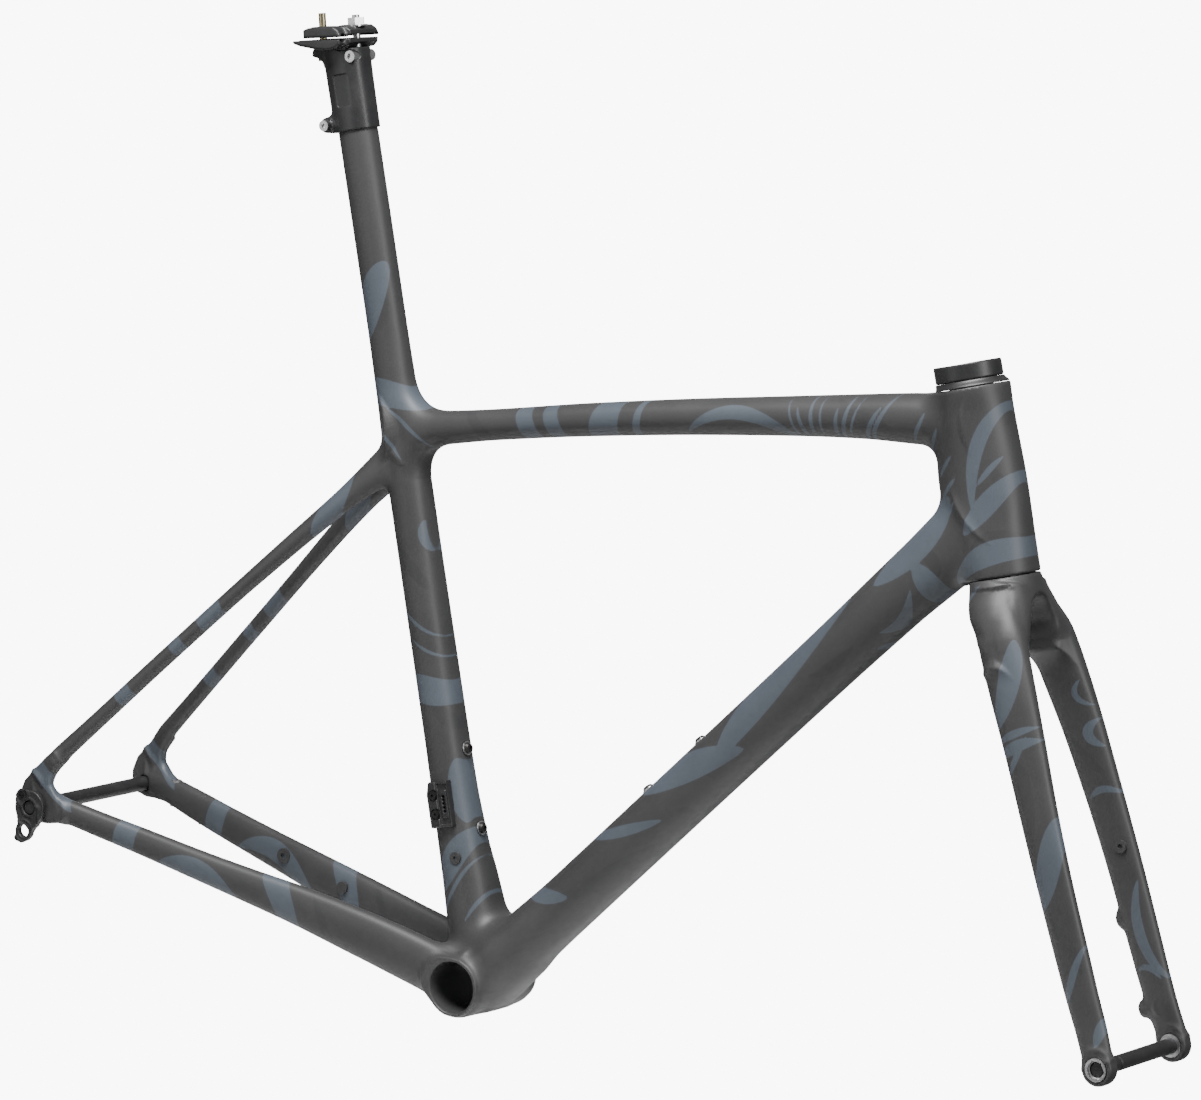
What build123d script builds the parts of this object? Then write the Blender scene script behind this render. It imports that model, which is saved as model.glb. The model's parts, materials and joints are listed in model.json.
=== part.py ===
"""Carbon road bicycle frameset: frame with an integrated seat mast, disc-brake fork, headset,
through-axles, mast clamp with a saddle cradle, and the small fittings bolted to the frame.

Millimetres. The origin is the centre of the bottom bracket, +X points forward, +Y to the
rider's left and +Z up. Every tube is a hollow moulding that meets its neighbours face to face.
"""

import os
from math import copysign, cos, pi, radians, sin, sqrt, tan

from build123d import *

os.makedirs("parts", exist_ok=True)

# ---------------------------------------------------------------- driving dimensions
CHAINSTAY_LENGTH = 405.0
BB_DROP = 70.0
WHEELBASE = 990.0
HEAD_ANGLE = 72.0
SEAT_ANGLE = 73.6
FORK_LENGTH = 372.0  # axle to crown seat
FORK_RAKE = 45.0
HEAD_TUBE_TOP = 144.5  # along the steering axis, from the crown seat
CROWN_GAP = 1.0  # between the fork crown and the head tube
REAR_SPACING = 142.0
FRONT_SPACING = 100.0
AXLE_RADIUS = 6.0
RUNNING = 0.05  # radial clearance of a shaft that turns or slides in a hole

BB_WIDTH = 86.5
BB_BORE = 20.5
BB_RIM = 23.8
BB_BODY = 26.0
WALL = 1.6
SECTION_POINTS = 16

DOWN_TUBE_ANGLE = 47.75
DOWN_TUBE_BASE = -4.4  # height at which the down tube's axis crosses the bottom bracket plane
MAST_TOP = 728.0
BOSS_SPACING = 64.0

Y_AXIS = Vector(0, 1, 0)
REAR_AXLE = Vector(-sqrt(CHAINSTAY_LENGTH**2 - BB_DROP**2), 0, BB_DROP)
FRONT_AXLE = REAR_AXLE + Vector(WHEELBASE, 0, 0)
SEAT_UP = Vector(-cos(radians(SEAT_ANGLE)), 0, sin(radians(SEAT_ANGLE)))
STEER_UP = Vector(-cos(radians(HEAD_ANGLE)), 0, sin(radians(HEAD_ANGLE)))
STEER_FORE = Y_AXIS.cross(STEER_UP)
FORK_DROP = sqrt(FORK_LENGTH**2 - FORK_RAKE**2)
CROWN = FRONT_AXLE - STEER_FORE * FORK_RAKE + STEER_UP * FORK_DROP
DOWN_UP = Vector(cos(radians(DOWN_TUBE_ANGLE)), 0, sin(radians(DOWN_TUBE_ANGLE)))
CLAMP_TILT = 10.0  # nose-up angle of the saddle cradle at rest
CLAMP_CENTRE = SEAT_UP * 753.0 + Y_AXIS.cross(SEAT_UP) * 7.0  # middle of the saddle rails
CLAMP_FORE = Vector(cos(radians(CLAMP_TILT)), 0, sin(radians(CLAMP_TILT)))
CLAMP_UP = Vector(-sin(radians(CLAMP_TILT)), 0, cos(radians(CLAMP_TILT)))


# ---------------------------------------------------------------- places
def seat(along, fore=0.0, side=0.0):
    """Plane across the seat tube: local X is forward, Y is left, Z is up the mast."""
    origin = SEAT_UP * along + Y_AXIS.cross(SEAT_UP) * fore + Y_AXIS * side
    return Plane(origin=origin, x_dir=Y_AXIS.cross(SEAT_UP), z_dir=SEAT_UP)


def head(along, fore=0.0, side=0.0):
    """Plane across the steering axis, counted up from the crown seat."""
    origin = CROWN + STEER_UP * along + STEER_FORE * fore + Y_AXIS * side
    return Plane(origin=origin, x_dir=STEER_FORE, z_dir=STEER_UP)


def down(along, fore=0.0):
    """Plane across the down tube, counted from the bottom bracket."""
    origin = Vector(0, 0, DOWN_TUBE_BASE) + DOWN_UP * along + Y_AXIS.cross(DOWN_UP) * fore
    return Plane(origin=origin, x_dir=Y_AXIS.cross(DOWN_UP), z_dir=DOWN_UP)


def clamp(up=0.0, fore=0.0, side=0.0):
    """Plane parallel to the saddle rails, counted from the middle of the rail clamp."""
    origin = CLAMP_CENTRE + CLAMP_UP * up + CLAMP_FORE * fore + Y_AXIS * side
    return Plane(origin=origin, x_dir=CLAMP_FORE, z_dir=CLAMP_UP)


def across(centre, side):
    """Plane facing the rider's left at a distance from the centre plane: X forward, Y up."""
    return Plane(origin=(centre.X, side, centre.Z), x_dir=(1, 0, 0), z_dir=(0, -1, 0))


# ---------------------------------------------------------------- shared shapes
def oval_points(depth, width, shift=0.0, power=2.3, inset=0.0):
    """Points round a superellipse, depth along X and width along Y."""
    points = []
    for i in range(SECTION_POINTS):
        turn = 2 * pi * i / SECTION_POINTS
        c = copysign(abs(cos(turn)) ** (2 / power), cos(turn))
        s = copysign(abs(sin(turn)) ** (2 / power), sin(turn))
        points.append((shift + c * (depth / 2 - inset), s * (width / 2 - inset)))
    return points


def even_rows(rows, count):
    """Smooth rows at even steps of their first number, without overshoot between the given rows."""
    steps = [after[0] - before[0] for before, after in zip(rows, rows[1:])]
    columns = []
    for k in range(1, len(rows[0])):
        slopes = [(after[k] - before[k]) / step for before, after, step in zip(rows, rows[1:], steps)]
        bends = [slopes[0]]
        for left, right in zip(slopes, slopes[1:]):
            bends.append(2 * left * right / (left + right) if left * right > 0 else 0.0)
        bends.append(slopes[-1])
        columns.append((k, bends))
    made = []
    for n in range(count):
        at = rows[0][0] + (rows[-1][0] - rows[0][0]) * n / (count - 1)
        i = max(j for j in range(len(steps)) if rows[j][0] <= at + 1e-9)
        t = (at - rows[i][0]) / steps[i]
        row = [at]
        for k, bends in columns:
            row.append(
                rows[i][k] * (2 * t**3 - 3 * t**2 + 1)
                + bends[i] * steps[i] * (t**3 - 2 * t**2 + t)
                + rows[i + 1][k] * (3 * t**2 - 2 * t**3)
                + bends[i + 1] * steps[i] * (t**3 - t**2)
            )
        made.append(row)
    return made


def straight_stations(place, rows, count):
    """Stations of a straight tube from (along, depth, width, shift, power) rows."""
    return [(place(row[0]), *row[1:]) for row in even_rows(rows, count)]


def path_stations(rows, count):
    """Stations across a curved path given as (x, side, z, depth, width) rows."""
    measured = []
    length = 0.0
    for i, row in enumerate(rows):
        if i:
            length += (Vector(*row[:3]) - Vector(*rows[i - 1][:3])).length
        measured.append((length, *row))
    even = [row[1:] for row in even_rows(measured, count)]
    made = []
    for i, (x, side, z, depth, width) in enumerate(even):
        tangent = Vector(*even[min(i + 1, count - 1)][:3]) - Vector(*even[max(i - 1, 0)][:3])
        tangent = tangent.normalized()
        x_dir = Y_AXIS.cross(tangent).normalized()
        made.append((Plane(origin=(x, side, z), x_dir=x_dir, z_dir=tangent), depth, width, 0.0, 2.3))
    return made


def moulding(stations, inset=0.0):
    """Smooth loft through (plane, depth, width, shift, power) stations."""
    with BuildPart() as skin:
        for plane, *sizes in stations:
            with BuildSketch(plane):
                with BuildLine():
                    Spline(*oval_points(*sizes, inset=inset), periodic=True)
                make_face()
        loft()
    return skin.part


def mirrored(rows):
    """The same path rows on the other side of the bike."""
    return [(x, -side, z, depth, width) for x, side, z, depth, width in rows]


def rod(centre, direction, radius, start, end):
    """Plain cylinder along a direction, from start to end counted from the centre."""
    with BuildPart() as bar:
        with BuildSketch(Plane(origin=centre + direction * start, z_dir=direction)):
            Circle(radius)
        extrude(amount=end - start)
    return bar.part


def turned(plane, *profile):
    """Solid of revolution about the plane's Z from (radius, height) points."""
    with BuildPart() as body:
        section = Plane(origin=plane.origin, x_dir=plane.x_dir, z_dir=-plane.y_dir)
        with BuildSketch(section):
            with BuildLine():
                Polyline(*profile, close=True)
            make_face()
        revolve(axis=Axis(plane.origin, plane.z_dir))
    return body.part


def save(part, name):
    """Writes a finished sub-part under its own node name."""
    part.label = name
    export_step(part, f"parts/{name}.step")


# ---------------------------------------------------------------- frame: outer skins
HEAD_ROWS = [
    (CROWN_GAP, 55.0, 54.0, 0.8, 2.0),
    (20, 59.6, 53.4, -0.8, 2.0),
    (72, 69.6, 50.6, -4.2, 2.1),
    (125, 60.8, 51.8, -0.8, 2.0),
    (HEAD_TUBE_TOP, 56.8, 54.6, 1.0, 2.0),
]
SEAT_ROWS = [
    (14, 46.0, 54.0, 4.2, 2.3),
    (45, 45.2, 50.0, 4.4, 2.3),
    (80, 42.0, 44.0, 3.4, 2.3),
    (110, 38.0, 40.0, 1.8, 2.3),
    (160, 34.4, 37.0, 0.6, 2.3),
    (200, 33.4, 36.6, 0.6, 2.3),
    (330, 33.0, 35.0, 0.6, 2.3),
    (420, 33.8, 33.0, 0.6, 2.3),
    (470, 33.0, 29.6, 0.4, 2.3),
    (530, 32.6, 27.0, 0.0, 2.3),
    (MAST_TOP, 32.6, 27.0, 0.0, 2.3),
]
DOWN_ROWS = [
    (12, 49.0, 74.0, -0.6, 2.6),
    (42, 50.0, 70.0, -1.0, 2.6),
    (68, 45.6, 61.0, -0.8, 2.6),
    (120, 44.6, 51.0, 0.0, 2.6),
    (300, 45.0, 48.0, 0.0, 2.6),
    (420, 45.8, 47.0, 0.0, 2.6),
    (510, 49.2, 47.0, 0.0, 2.5),
    (560, 53.6, 46.0, 0.8, 2.4),
    (605, 59.0, 44.0, 0.8, 2.3),
]
TOP_ROWS = [
    (-118.0, 0.0, 424.0, 34.0, 29.0),
    (-75.0, 0.0, 433.2, 26.4, 31.0),
    (-32.0, 0.0, 442.9, 24.6, 33.5),
    (60.8, 0.0, 463.1, 26.0, 36.0),
    (151.9, 0.0, 481.0, 28.0, 38.0),
    (241.5, 0.0, 497.1, 30.6, 40.0),
    (300.0, 0.0, 506.8, 34.0, 42.0),
    (345.0, 0.0, 513.0, 38.6, 43.0),
    (385.0, 0.0, 518.5, 43.0, 42.0),
]
CHAINSTAY_ROWS = [
    (-390.0, -72.0, 71.6, 22.0, 13.0),
    (-366.0, -69.5, 70.2, 20.6, 15.0),
    (-340.0, -65.5, 65.6, 20.8, 15.0),
    (-300.0, -60.0, 58.9, 22.2, 15.0),
    (-245.0, -54.0, 49.5, 24.8, 16.0),
    (-200.0, -48.5, 42.0, 28.0, 17.0),
    (-150.0, -43.0, 34.0, 33.0, 18.0),
    (-94.0, -38.0, 23.5, 38.4, 20.0),
    (-50.0, -33.5, 14.0, 41.0, 22.0),
    (-8.0, -30.0, 4.0, 42.0, 24.0),
]
CHAINSTAY_ROWS_LEFT = [  # deeper and lower than the right one, for the brake mount
    (-390.0, 72.0, 71.6, 22.0, 13.0),
    (-366.0, 69.5, 68.6, 23.0, 15.0),
    (-340.0, 65.5, 63.6, 25.6, 15.0),
    (-300.0, 60.0, 56.0, 27.6, 15.0),
    (-245.0, 54.0, 45.6, 30.4, 16.0),
    (-200.0, 48.5, 37.4, 33.6, 17.0),
    (-150.0, 43.0, 28.0, 37.0, 18.0),
    (-94.0, 38.0, 17.0, 40.0, 20.0),
    (-50.0, 33.5, 9.6, 41.0, 22.0),
    (-8.0, 30.0, 1.0, 42.0, 24.0),
]
SEATSTAY_ROWS = [
    (-389.5, -73.0, 101.5, 15.0, 11.0),
    (-378.0, -69.5, 120.4, 14.6, 12.0),
    (-350.0, -63.3, 151.8, 13.4, 12.0),
    (-300.0, -52.4, 208.4, 13.2, 12.0),
    (-250.0, -40.8, 264.6, 13.4, 12.4),
    (-205.0, -29.0, 314.4, 14.8, 13.5),
    (-165.0, -18.5, 357.0, 18.0, 16.0),
    (-122.0, -9.0, 401.0, 30.0, 13.0),
]

head_stations = straight_stations(head, HEAD_ROWS, 9)
seat_stations = straight_stations(seat, SEAT_ROWS, 36)
down_stations = straight_stations(down, DOWN_ROWS, 24)
top_stations = path_stations(TOP_ROWS, 20)
chainstay_stations = path_stations(CHAINSTAY_ROWS, 20)
left_chainstay_stations = path_stations(CHAINSTAY_ROWS_LEFT, 20)
seatstay_stations = path_stations(SEATSTAY_ROWS, 20)

head_skin = moulding(head_stations)
seat_skin = moulding(seat_stations)
down_skin = moulding(down_stations)

# ---------------------------------------------------------------- bottom bracket shell
with BuildPart() as bottom_bracket_shell:
    half = BB_WIDTH / 2
    with BuildSketch(Plane.XY):
        with BuildLine():
            Polyline(
                (BB_BORE, -half),
                (BB_RIM, -half),
                (BB_RIM, -half + 4.0),
                (BB_BODY, -half + 9.0),
                (BB_BODY, half - 9.0),
                (BB_RIM, half - 4.0),
                (BB_RIM, half),
                (BB_BORE, half),
                close=True,
            )
        make_face()
    revolve(axis=Axis.Y)
save(bottom_bracket_shell.part, "bottom_bracket_shell")

bb_solid = rod(Vector(0, 0, 0), Y_AXIS, BB_BODY, -half + 9.0, half - 9.0)
bb_reach = rod(Vector(0, 0, 0), Y_AXIS, BB_BODY, -half - 1.0, half + 1.0)

# ---------------------------------------------------------------- head tube and headset seats
LOWER_RACE = 23.45
UPPER_RACE = 20.9
LOWER_SEAT = 9.0  # height of the lower bearing's shoulder
UPPER_SEAT = HEAD_TUBE_TOP - 8.5
with BuildPart() as head_tube:
    add(head_skin)
    add(
        turned(
            head(0),
            (0, CROWN_GAP - 1),
            (LOWER_RACE, CROWN_GAP - 1),
            (LOWER_RACE, LOWER_SEAT),
            (20.0, LOWER_SEAT + 3),
            (19.0, 70),
            (18.2, UPPER_SEAT - 3),
            (18.2, UPPER_SEAT),
            (UPPER_RACE, UPPER_SEAT),
            (UPPER_RACE, HEAD_TUBE_TOP + 1),
            (0, HEAD_TUBE_TOP + 1),
        ),
        mode=Mode.SUBTRACT,
    )
save(head_tube.part, "head_tube")

# ---------------------------------------------------------------- seat tube with its mast
BOTTLE_LOW = 120.0  # lower bottle boss along the seat tube
DOWN_BOSS_LOW = 232.5  # lower bottle boss along the down tube
seat_bosses = [seat(BOTTLE_LOW), seat(BOTTLE_LOW + BOSS_SPACING)]
down_bosses = [down(DOWN_BOSS_LOW), down(DOWN_BOSS_LOW + BOSS_SPACING)]
RIVNUT = 3.9
WIRE_PORT = seat(99.8, 6.3)
with BuildPart() as seat_tube:
    add(seat_skin)
    add(bb_reach, mode=Mode.SUBTRACT)
    add(moulding(seat_stations[2:-1], inset=WALL), mode=Mode.SUBTRACT)
    for place in seat_bosses:
        add(rod(place.origin, place.x_dir, RIVNUT, 8, 25), mode=Mode.SUBTRACT)
    add(rod(WIRE_PORT.origin, -Y_AXIS, 3.2, 8, 30), mode=Mode.SUBTRACT)
save(seat_tube.part, "seat_tube")

# ---------------------------------------------------------------- down tube
with BuildPart() as down_tube:
    add(down_skin)
    add(bb_reach, mode=Mode.SUBTRACT)
    add(seat_skin, mode=Mode.SUBTRACT)
    add(head_skin, mode=Mode.SUBTRACT)
    add(moulding(down_stations[:-2], inset=WALL), mode=Mode.SUBTRACT)
    for place in down_bosses:
        add(rod(place.origin, -place.x_dir, RIVNUT, 12, 30), mode=Mode.SUBTRACT)
save(down_tube.part, "down_tube")

# ---------------------------------------------------------------- top tube
top_skin = moulding(top_stations)
with BuildPart() as top_tube:
    add(top_skin)
    add(seat_skin, mode=Mode.SUBTRACT)
    add(head_skin, mode=Mode.SUBTRACT)
    add(moulding(top_stations[1:-2], inset=WALL), mode=Mode.SUBTRACT)
save(top_tube.part, "top_tube")

# ---------------------------------------------------------------- rear dropouts and hanger
DROPOUT_THICK = 8.5
EYE = Vector(-402.8, 0, 50.0)  # rear derailleur's threaded hole


def dropout(side):
    """Hooded rear end: a rounded plate round the axle that both stays run into."""
    inner = side * REAR_SPACING / 2
    with BuildPart() as plate:
        with BuildSketch(across(Vector(0, 0, 0), inner)):
            with BuildLine():
                Spline(
                    (-383, 117.5),
                    (-393, 111),
                    (-402, 101.5),
                    (-411, 90),
                    (-415, 78),
                    (-413.5, 66),
                    (-407.5, 59),
                    (-398, 56),
                    (-384, 57),
                    (-372, 61),
                    (-368.5, 70),
                    (-372.5, 81),
                    (-378, 94),
                    (-374, 108),
                    periodic=True,
                )
            make_face()
        extrude(amount=-side * DROPOUT_THICK)
    return plate.part


right_outer = -REAR_SPACING / 2 - DROPOUT_THICK
BRAKE_BOSSES = [Vector(-365.0, 68.6, 0), Vector(-331.3, 64.2, 0)]  # flat mount, 34 mm apart
HANGER_BOSS = 9.4
HANGER_SCREW = Vector(-407.6, 0, 79.0)
dropout_solid = {-1: dropout(-1), 1: dropout(1)}
with BuildPart() as dropout_right:
    add(dropout_solid[-1])
    add(rod(REAR_AXLE, Y_AXIS, HANGER_BOSS, -90, -60), mode=Mode.SUBTRACT)
    add(rod(HANGER_SCREW, Y_AXIS, 1.5, right_outer - 1, right_outer + 6), mode=Mode.SUBTRACT)
save(dropout_right.part, "dropout_right")

with BuildPart() as dropout_left:
    add(dropout_solid[1])
    add(rod(REAR_AXLE, Y_AXIS, AXLE_RADIUS + RUNNING, 60, 90), mode=Mode.SUBTRACT)
    add(rod(BRAKE_BOSSES[0], Vector(0, 0, 1), 4.2, 40, 100), mode=Mode.SUBTRACT)
save(dropout_left.part, "dropout_left")

HANGER_THICK = 5.0
with BuildPart() as derailleur_hanger:
    with BuildSketch(across(Vector(0, 0, 0), right_outer)):
        with Locations((REAR_AXLE.X, REAR_AXLE.Z)):
            Circle(14.6)
        with Locations((HANGER_SCREW.X, HANGER_SCREW.Z)):
            Circle(5.4)
        with BuildLine():
            Polyline(
                (-408.5, 66),
                (-407.0, 61),
                (-410.4, 52),
                (-409.5, 46.5),
                (-412.4, 42.6),
                (-410.5, 40.2),
                (-404.5, 39.0),
                (-398.5, 42.4),
                (-394.8, 50),
                (-389.6, 58.3),
                (-392.0, 70),
                close=True,
            )
        make_face()
        with Locations((EYE.X, EYE.Z)):
            Circle(8.2)
    extrude(amount=HANGER_THICK)
    add(rod(REAR_AXLE, Y_AXIS, HANGER_BOSS, right_outer, -REAR_SPACING / 2))
    add(rod(REAR_AXLE, Y_AXIS, AXLE_RADIUS + RUNNING, -95, -60), mode=Mode.SUBTRACT)
    add(rod(EYE, Y_AXIS, 5.0, -95, -70), mode=Mode.SUBTRACT)
    add(rod(HANGER_SCREW, Y_AXIS, 1.5, -95, -60), mode=Mode.SUBTRACT)
save(derailleur_hanger.part, "derailleur_hanger")

hanger_outer = right_outer - HANGER_THICK
with BuildPart() as hanger_screw:
    add(rod(HANGER_SCREW, Y_AXIS, 1.5, hanger_outer, right_outer + 6))
    add(rod(HANGER_SCREW, Y_AXIS, 2.2, hanger_outer - 1.2, hanger_outer))
    add(rod(HANGER_SCREW, Y_AXIS, 1.1, hanger_outer - 2, hanger_outer - 0.4), mode=Mode.SUBTRACT)
save(hanger_screw.part, "hanger_screw")

# ---------------------------------------------------------------- chainstays
HOSE_PORT = Vector(-233.2, 0, 46.0)
PLUG_PORT = Vector(-166.0, 0, 35.0)
chain_skin = {-1: moulding(chainstay_stations), 1: moulding(left_chainstay_stations)}
chain_core = {
    -1: moulding(chainstay_stations[2:-1], inset=WALL),
    1: moulding(left_chainstay_stations[4:-1], inset=WALL),
}
with BuildPart() as chainstay_right:
    add(chain_skin[-1])
    for other in (bb_reach, seat_skin, down_skin, dropout_solid[-1], chain_core[-1]):
        add(other, mode=Mode.SUBTRACT)
save(chainstay_right.part, "chainstay_right")

with BuildPart() as chainstay_left:
    add(chain_skin[1])
    for other in (bb_reach, seat_skin, down_skin, dropout_solid[1], chain_core[1]):
        add(other, mode=Mode.SUBTRACT)
    for boss in BRAKE_BOSSES:
        add(rod(boss, Vector(0, 0, 1), 4.2, 40, 100), mode=Mode.SUBTRACT)
    add(rod(HOSE_PORT, Y_AXIS, 4.6, 36, 52), mode=Mode.SUBTRACT)
    add(rod(PLUG_PORT, Y_AXIS, 4.0, 26, 42), mode=Mode.SUBTRACT)
save(chainstay_left.part, "chainstay_left")

# ---------------------------------------------------------------- seatstays
stay_skin = {-1: moulding(seatstay_stations), 1: moulding(path_stations(mirrored(SEATSTAY_ROWS), 20))}
stay_core = {
    -1: moulding(seatstay_stations[2:-3], inset=WALL),
    1: moulding(path_stations(mirrored(SEATSTAY_ROWS), 20)[2:-3], inset=WALL),
}
with BuildPart() as seatstay_right:
    add(stay_skin[-1])
    for other in (seat_skin, top_skin, dropout_solid[-1], stay_core[-1]):
        add(other, mode=Mode.SUBTRACT)
save(seatstay_right.part, "seatstay_right")

with BuildPart() as seatstay_left:
    add(stay_skin[1])
    for other in (seat_skin, top_skin, dropout_solid[1], stay_core[1]):
        add(other, mode=Mode.SUBTRACT)
save(seatstay_left.part, "seatstay_left")

# ---------------------------------------------------------------- fork
STEERER = 14.3
CROWN_BOTTOM = -44.0
CROWN_ROWS = [
    (CROWN_BOTTOM, 41.0, 92.0, 7.6, 2.4),
    (-36, 43.0, 91.0, 6.2, 2.4),
    (-24, 48.4, 85.0, 4.0, 2.4),
    (-12, 52.0, 71.0, 2.2, 2.1),
    (0, 54.6, 54.0, 0.8, 2.0),
]
BLADE_ROWS = [
    (588.6, -57.0, 76.0, 27.0, 12.0),
    (580.0, -54.8, 94.0, 27.4, 13.0),
    (570.0, -54.3, 116.1, 27.6, 13.6),
    (560.0, -54.0, 140.0, 28.2, 14.0),
    (530.0, -52.2, 209.6, 30.0, 15.0),
    (510.0, -48.6, 253.6, 32.0, 16.5),
    (490.0, -43.9, 296.7, 35.4, 18.5),
    (470.0, -37.9, 336.1, 39.0, 22.0),
    (453.0, -32.0, 368.0, 42.0, 25.0),
    (444.0, -29.0, 388.0, 42.0, 26.0),
]
ARCH = 18.0  # half width of the tyre gap at the crown
FORK_OUTER = 62.0
crown_skin = moulding(straight_stations(head, CROWN_ROWS, 9))
arch_axis = head(CROWN_BOTTOM)
with BuildPart() as fork_crown:
    add(crown_skin)
    add(rod(arch_axis.origin, STEER_FORE, ARCH, -60, 60), mode=Mode.SUBTRACT)
    add(rod(head(0).origin, STEER_UP, STEERER, -26, 2), mode=Mode.SUBTRACT)
save(fork_crown.part, "fork_crown")

with BuildPart() as above_crown_bottom:
    with BuildSketch(head(CROWN_BOTTOM)):
        Rectangle(200, 200)
    extrude(amount=80)

PAD_DEPTH = 14.6


def blade(side):
    """Hollow fork leg: curved leg, rounded end round the axle, open at the crown."""
    rows = BLADE_ROWS if side < 0 else mirrored(BLADE_ROWS)
    stations = path_stations(rows, 22)
    with BuildPart() as leg:
        add(moulding(stations))
        add(rod(FRONT_AXLE, Y_AXIS * side, 14.0, FRONT_SPACING / 2, FORK_OUTER))
        add(above_crown_bottom.part, mode=Mode.SUBTRACT)
        add(moulding(stations[4:-1], inset=WALL), mode=Mode.SUBTRACT)
    return leg.part


INSERT_RADIUS = 9.0
PORT = Vector(533.8, 0, 213.6)
with BuildPart() as fork_blade_right:
    add(blade(-1))
    add(rod(FRONT_AXLE, Y_AXIS, INSERT_RADIUS, -70, -40), mode=Mode.SUBTRACT)
save(fork_blade_right.part, "fork_blade_right")

brake_seats = []
for insert_z in (161.0, 97.0):
    fore = 591.1 - (insert_z - 70.0) * tan(radians(23.3)) - 4.0
    brake_seats.append(Vector(fore, 54.3, insert_z))
REARWARD = Vector(-cos(radians(23.3)), 0, -sin(radians(23.3)))
with BuildPart() as fork_blade_left:
    add(blade(1))
    for brake_seat in brake_seats:
        add(rod(brake_seat, REARWARD, 6.6, 2.0, PAD_DEPTH))
        add(rod(brake_seat, REARWARD, 4.4, 1.0, PAD_DEPTH + 1), mode=Mode.SUBTRACT)
    add(rod(FRONT_AXLE, Y_AXIS, INSERT_RADIUS, 40, 70), mode=Mode.SUBTRACT)
    add(rod(PORT, Y_AXIS, 3.6, 40, 52), mode=Mode.SUBTRACT)
save(fork_blade_left.part, "fork_blade_left")

with BuildPart() as fork_brake_inserts:
    for brake_seat in brake_seats:
        add(rod(brake_seat, REARWARD, 4.4, 1.0, PAD_DEPTH + 0.6))
        add(rod(brake_seat, REARWARD, 2.5, 3.0, PAD_DEPTH + 1), mode=Mode.SUBTRACT)
save(fork_brake_inserts.part, "fork_brake_inserts")

with BuildPart() as steerer_tube:
    add(rod(head(0).origin, STEER_UP, STEERER, -26, 158))
    add(turned(head(0), (STEERER - 1, 0), (19.9, 0), (19.9, 12), (STEERER - 1, 44)))
    add(rod(head(0).origin, STEER_UP, 11.2, -30, 160), mode=Mode.SUBTRACT)
save(steerer_tube.part, "steerer_tube")

axle_hole = AXLE_RADIUS + RUNNING
with BuildPart() as fork_thread_insert:
    add(rod(FRONT_AXLE, Y_AXIS, INSERT_RADIUS, -62.6, -50))
    add(rod(FRONT_AXLE, Y_AXIS, axle_hole, -70, -40), mode=Mode.SUBTRACT)
    with BuildSketch(across(FRONT_AXLE, -62.6)):
        RegularPolygon(7.6, 6)
    extrude(amount=-2.4, mode=Mode.SUBTRACT)
save(fork_thread_insert.part, "fork_thread_insert")

with BuildPart() as fork_axle_bush:
    add(rod(FRONT_AXLE, Y_AXIS, INSERT_RADIUS, 50, 62))
    add(rod(FRONT_AXLE, Y_AXIS, axle_hole, 40, 70), mode=Mode.SUBTRACT)
save(fork_axle_bush.part, "fork_axle_bush")

# ---------------------------------------------------------------- headset
with BuildPart() as crown_race:
    add(turned(head(0), (19.9, 0), (23.2, 0), (23.2, 0.7), (21.5, 1.9), (19.9, 1.9)))
save(crown_race.part, "crown_race")

with BuildPart() as lower_bearing:
    add(turned(head(0), (19.95, 2.4), (LOWER_RACE, 2.4), (LOWER_RACE, LOWER_SEAT), (19.95, LOWER_SEAT)))
save(lower_bearing.part, "lower_bearing")

with BuildPart() as upper_bearing:
    profile = [(14.35, UPPER_SEAT), (UPPER_RACE, UPPER_SEAT)]
    profile += [(UPPER_RACE, UPPER_SEAT + 7), (14.35, UPPER_SEAT + 7)]
    add(turned(head(0), *profile))
save(upper_bearing.part, "upper_bearing")

RING_FOOT = HEAD_TUBE_TOP + 0.5
with BuildPart() as compression_ring:
    profile = [(STEERER, RING_FOOT - 1.6), (18.4, RING_FOOT - 1.6), (16.8, RING_FOOT), (STEERER, RING_FOOT)]
    add(turned(head(0), *profile))
save(compression_ring.part, "compression_ring")

COVER_FOOT = 150.0
COVER_TOP = 163.0
COVER_SHIFT = -0.6  # the oval cover sits slightly behind the steering axis
with BuildPart() as headset_flare_ring:
    with BuildSketch(head(RING_FOOT)):
        with Locations((0.9, 0)):
            Ellipse(28.6, 27.4)
    with BuildSketch(head(COVER_FOOT)):
        with Locations((COVER_SHIFT, 0)):
            Ellipse(27.2, 24.3)
    loft()
    add(rod(head(0).origin, STEER_UP, STEERER, 140, 155), mode=Mode.SUBTRACT)
save(headset_flare_ring.part, "headset_flare_ring")

with BuildPart() as headset_cover:
    with BuildSketch(head(COVER_FOOT)):
        with Locations((COVER_SHIFT, 0)):
            Ellipse(26.8, 23.9)
    extrude(amount=COVER_TOP - COVER_FOOT)
    fillet(headset_cover.edges().sort_by(Axis((0, 0, 0), tuple(STEER_UP)))[-1], radius=1.6)
    add(rod(head(COVER_FOOT).origin, STEER_UP, STEERER, -1, 8), mode=Mode.SUBTRACT)
save(headset_cover.part, "headset_cover")

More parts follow.
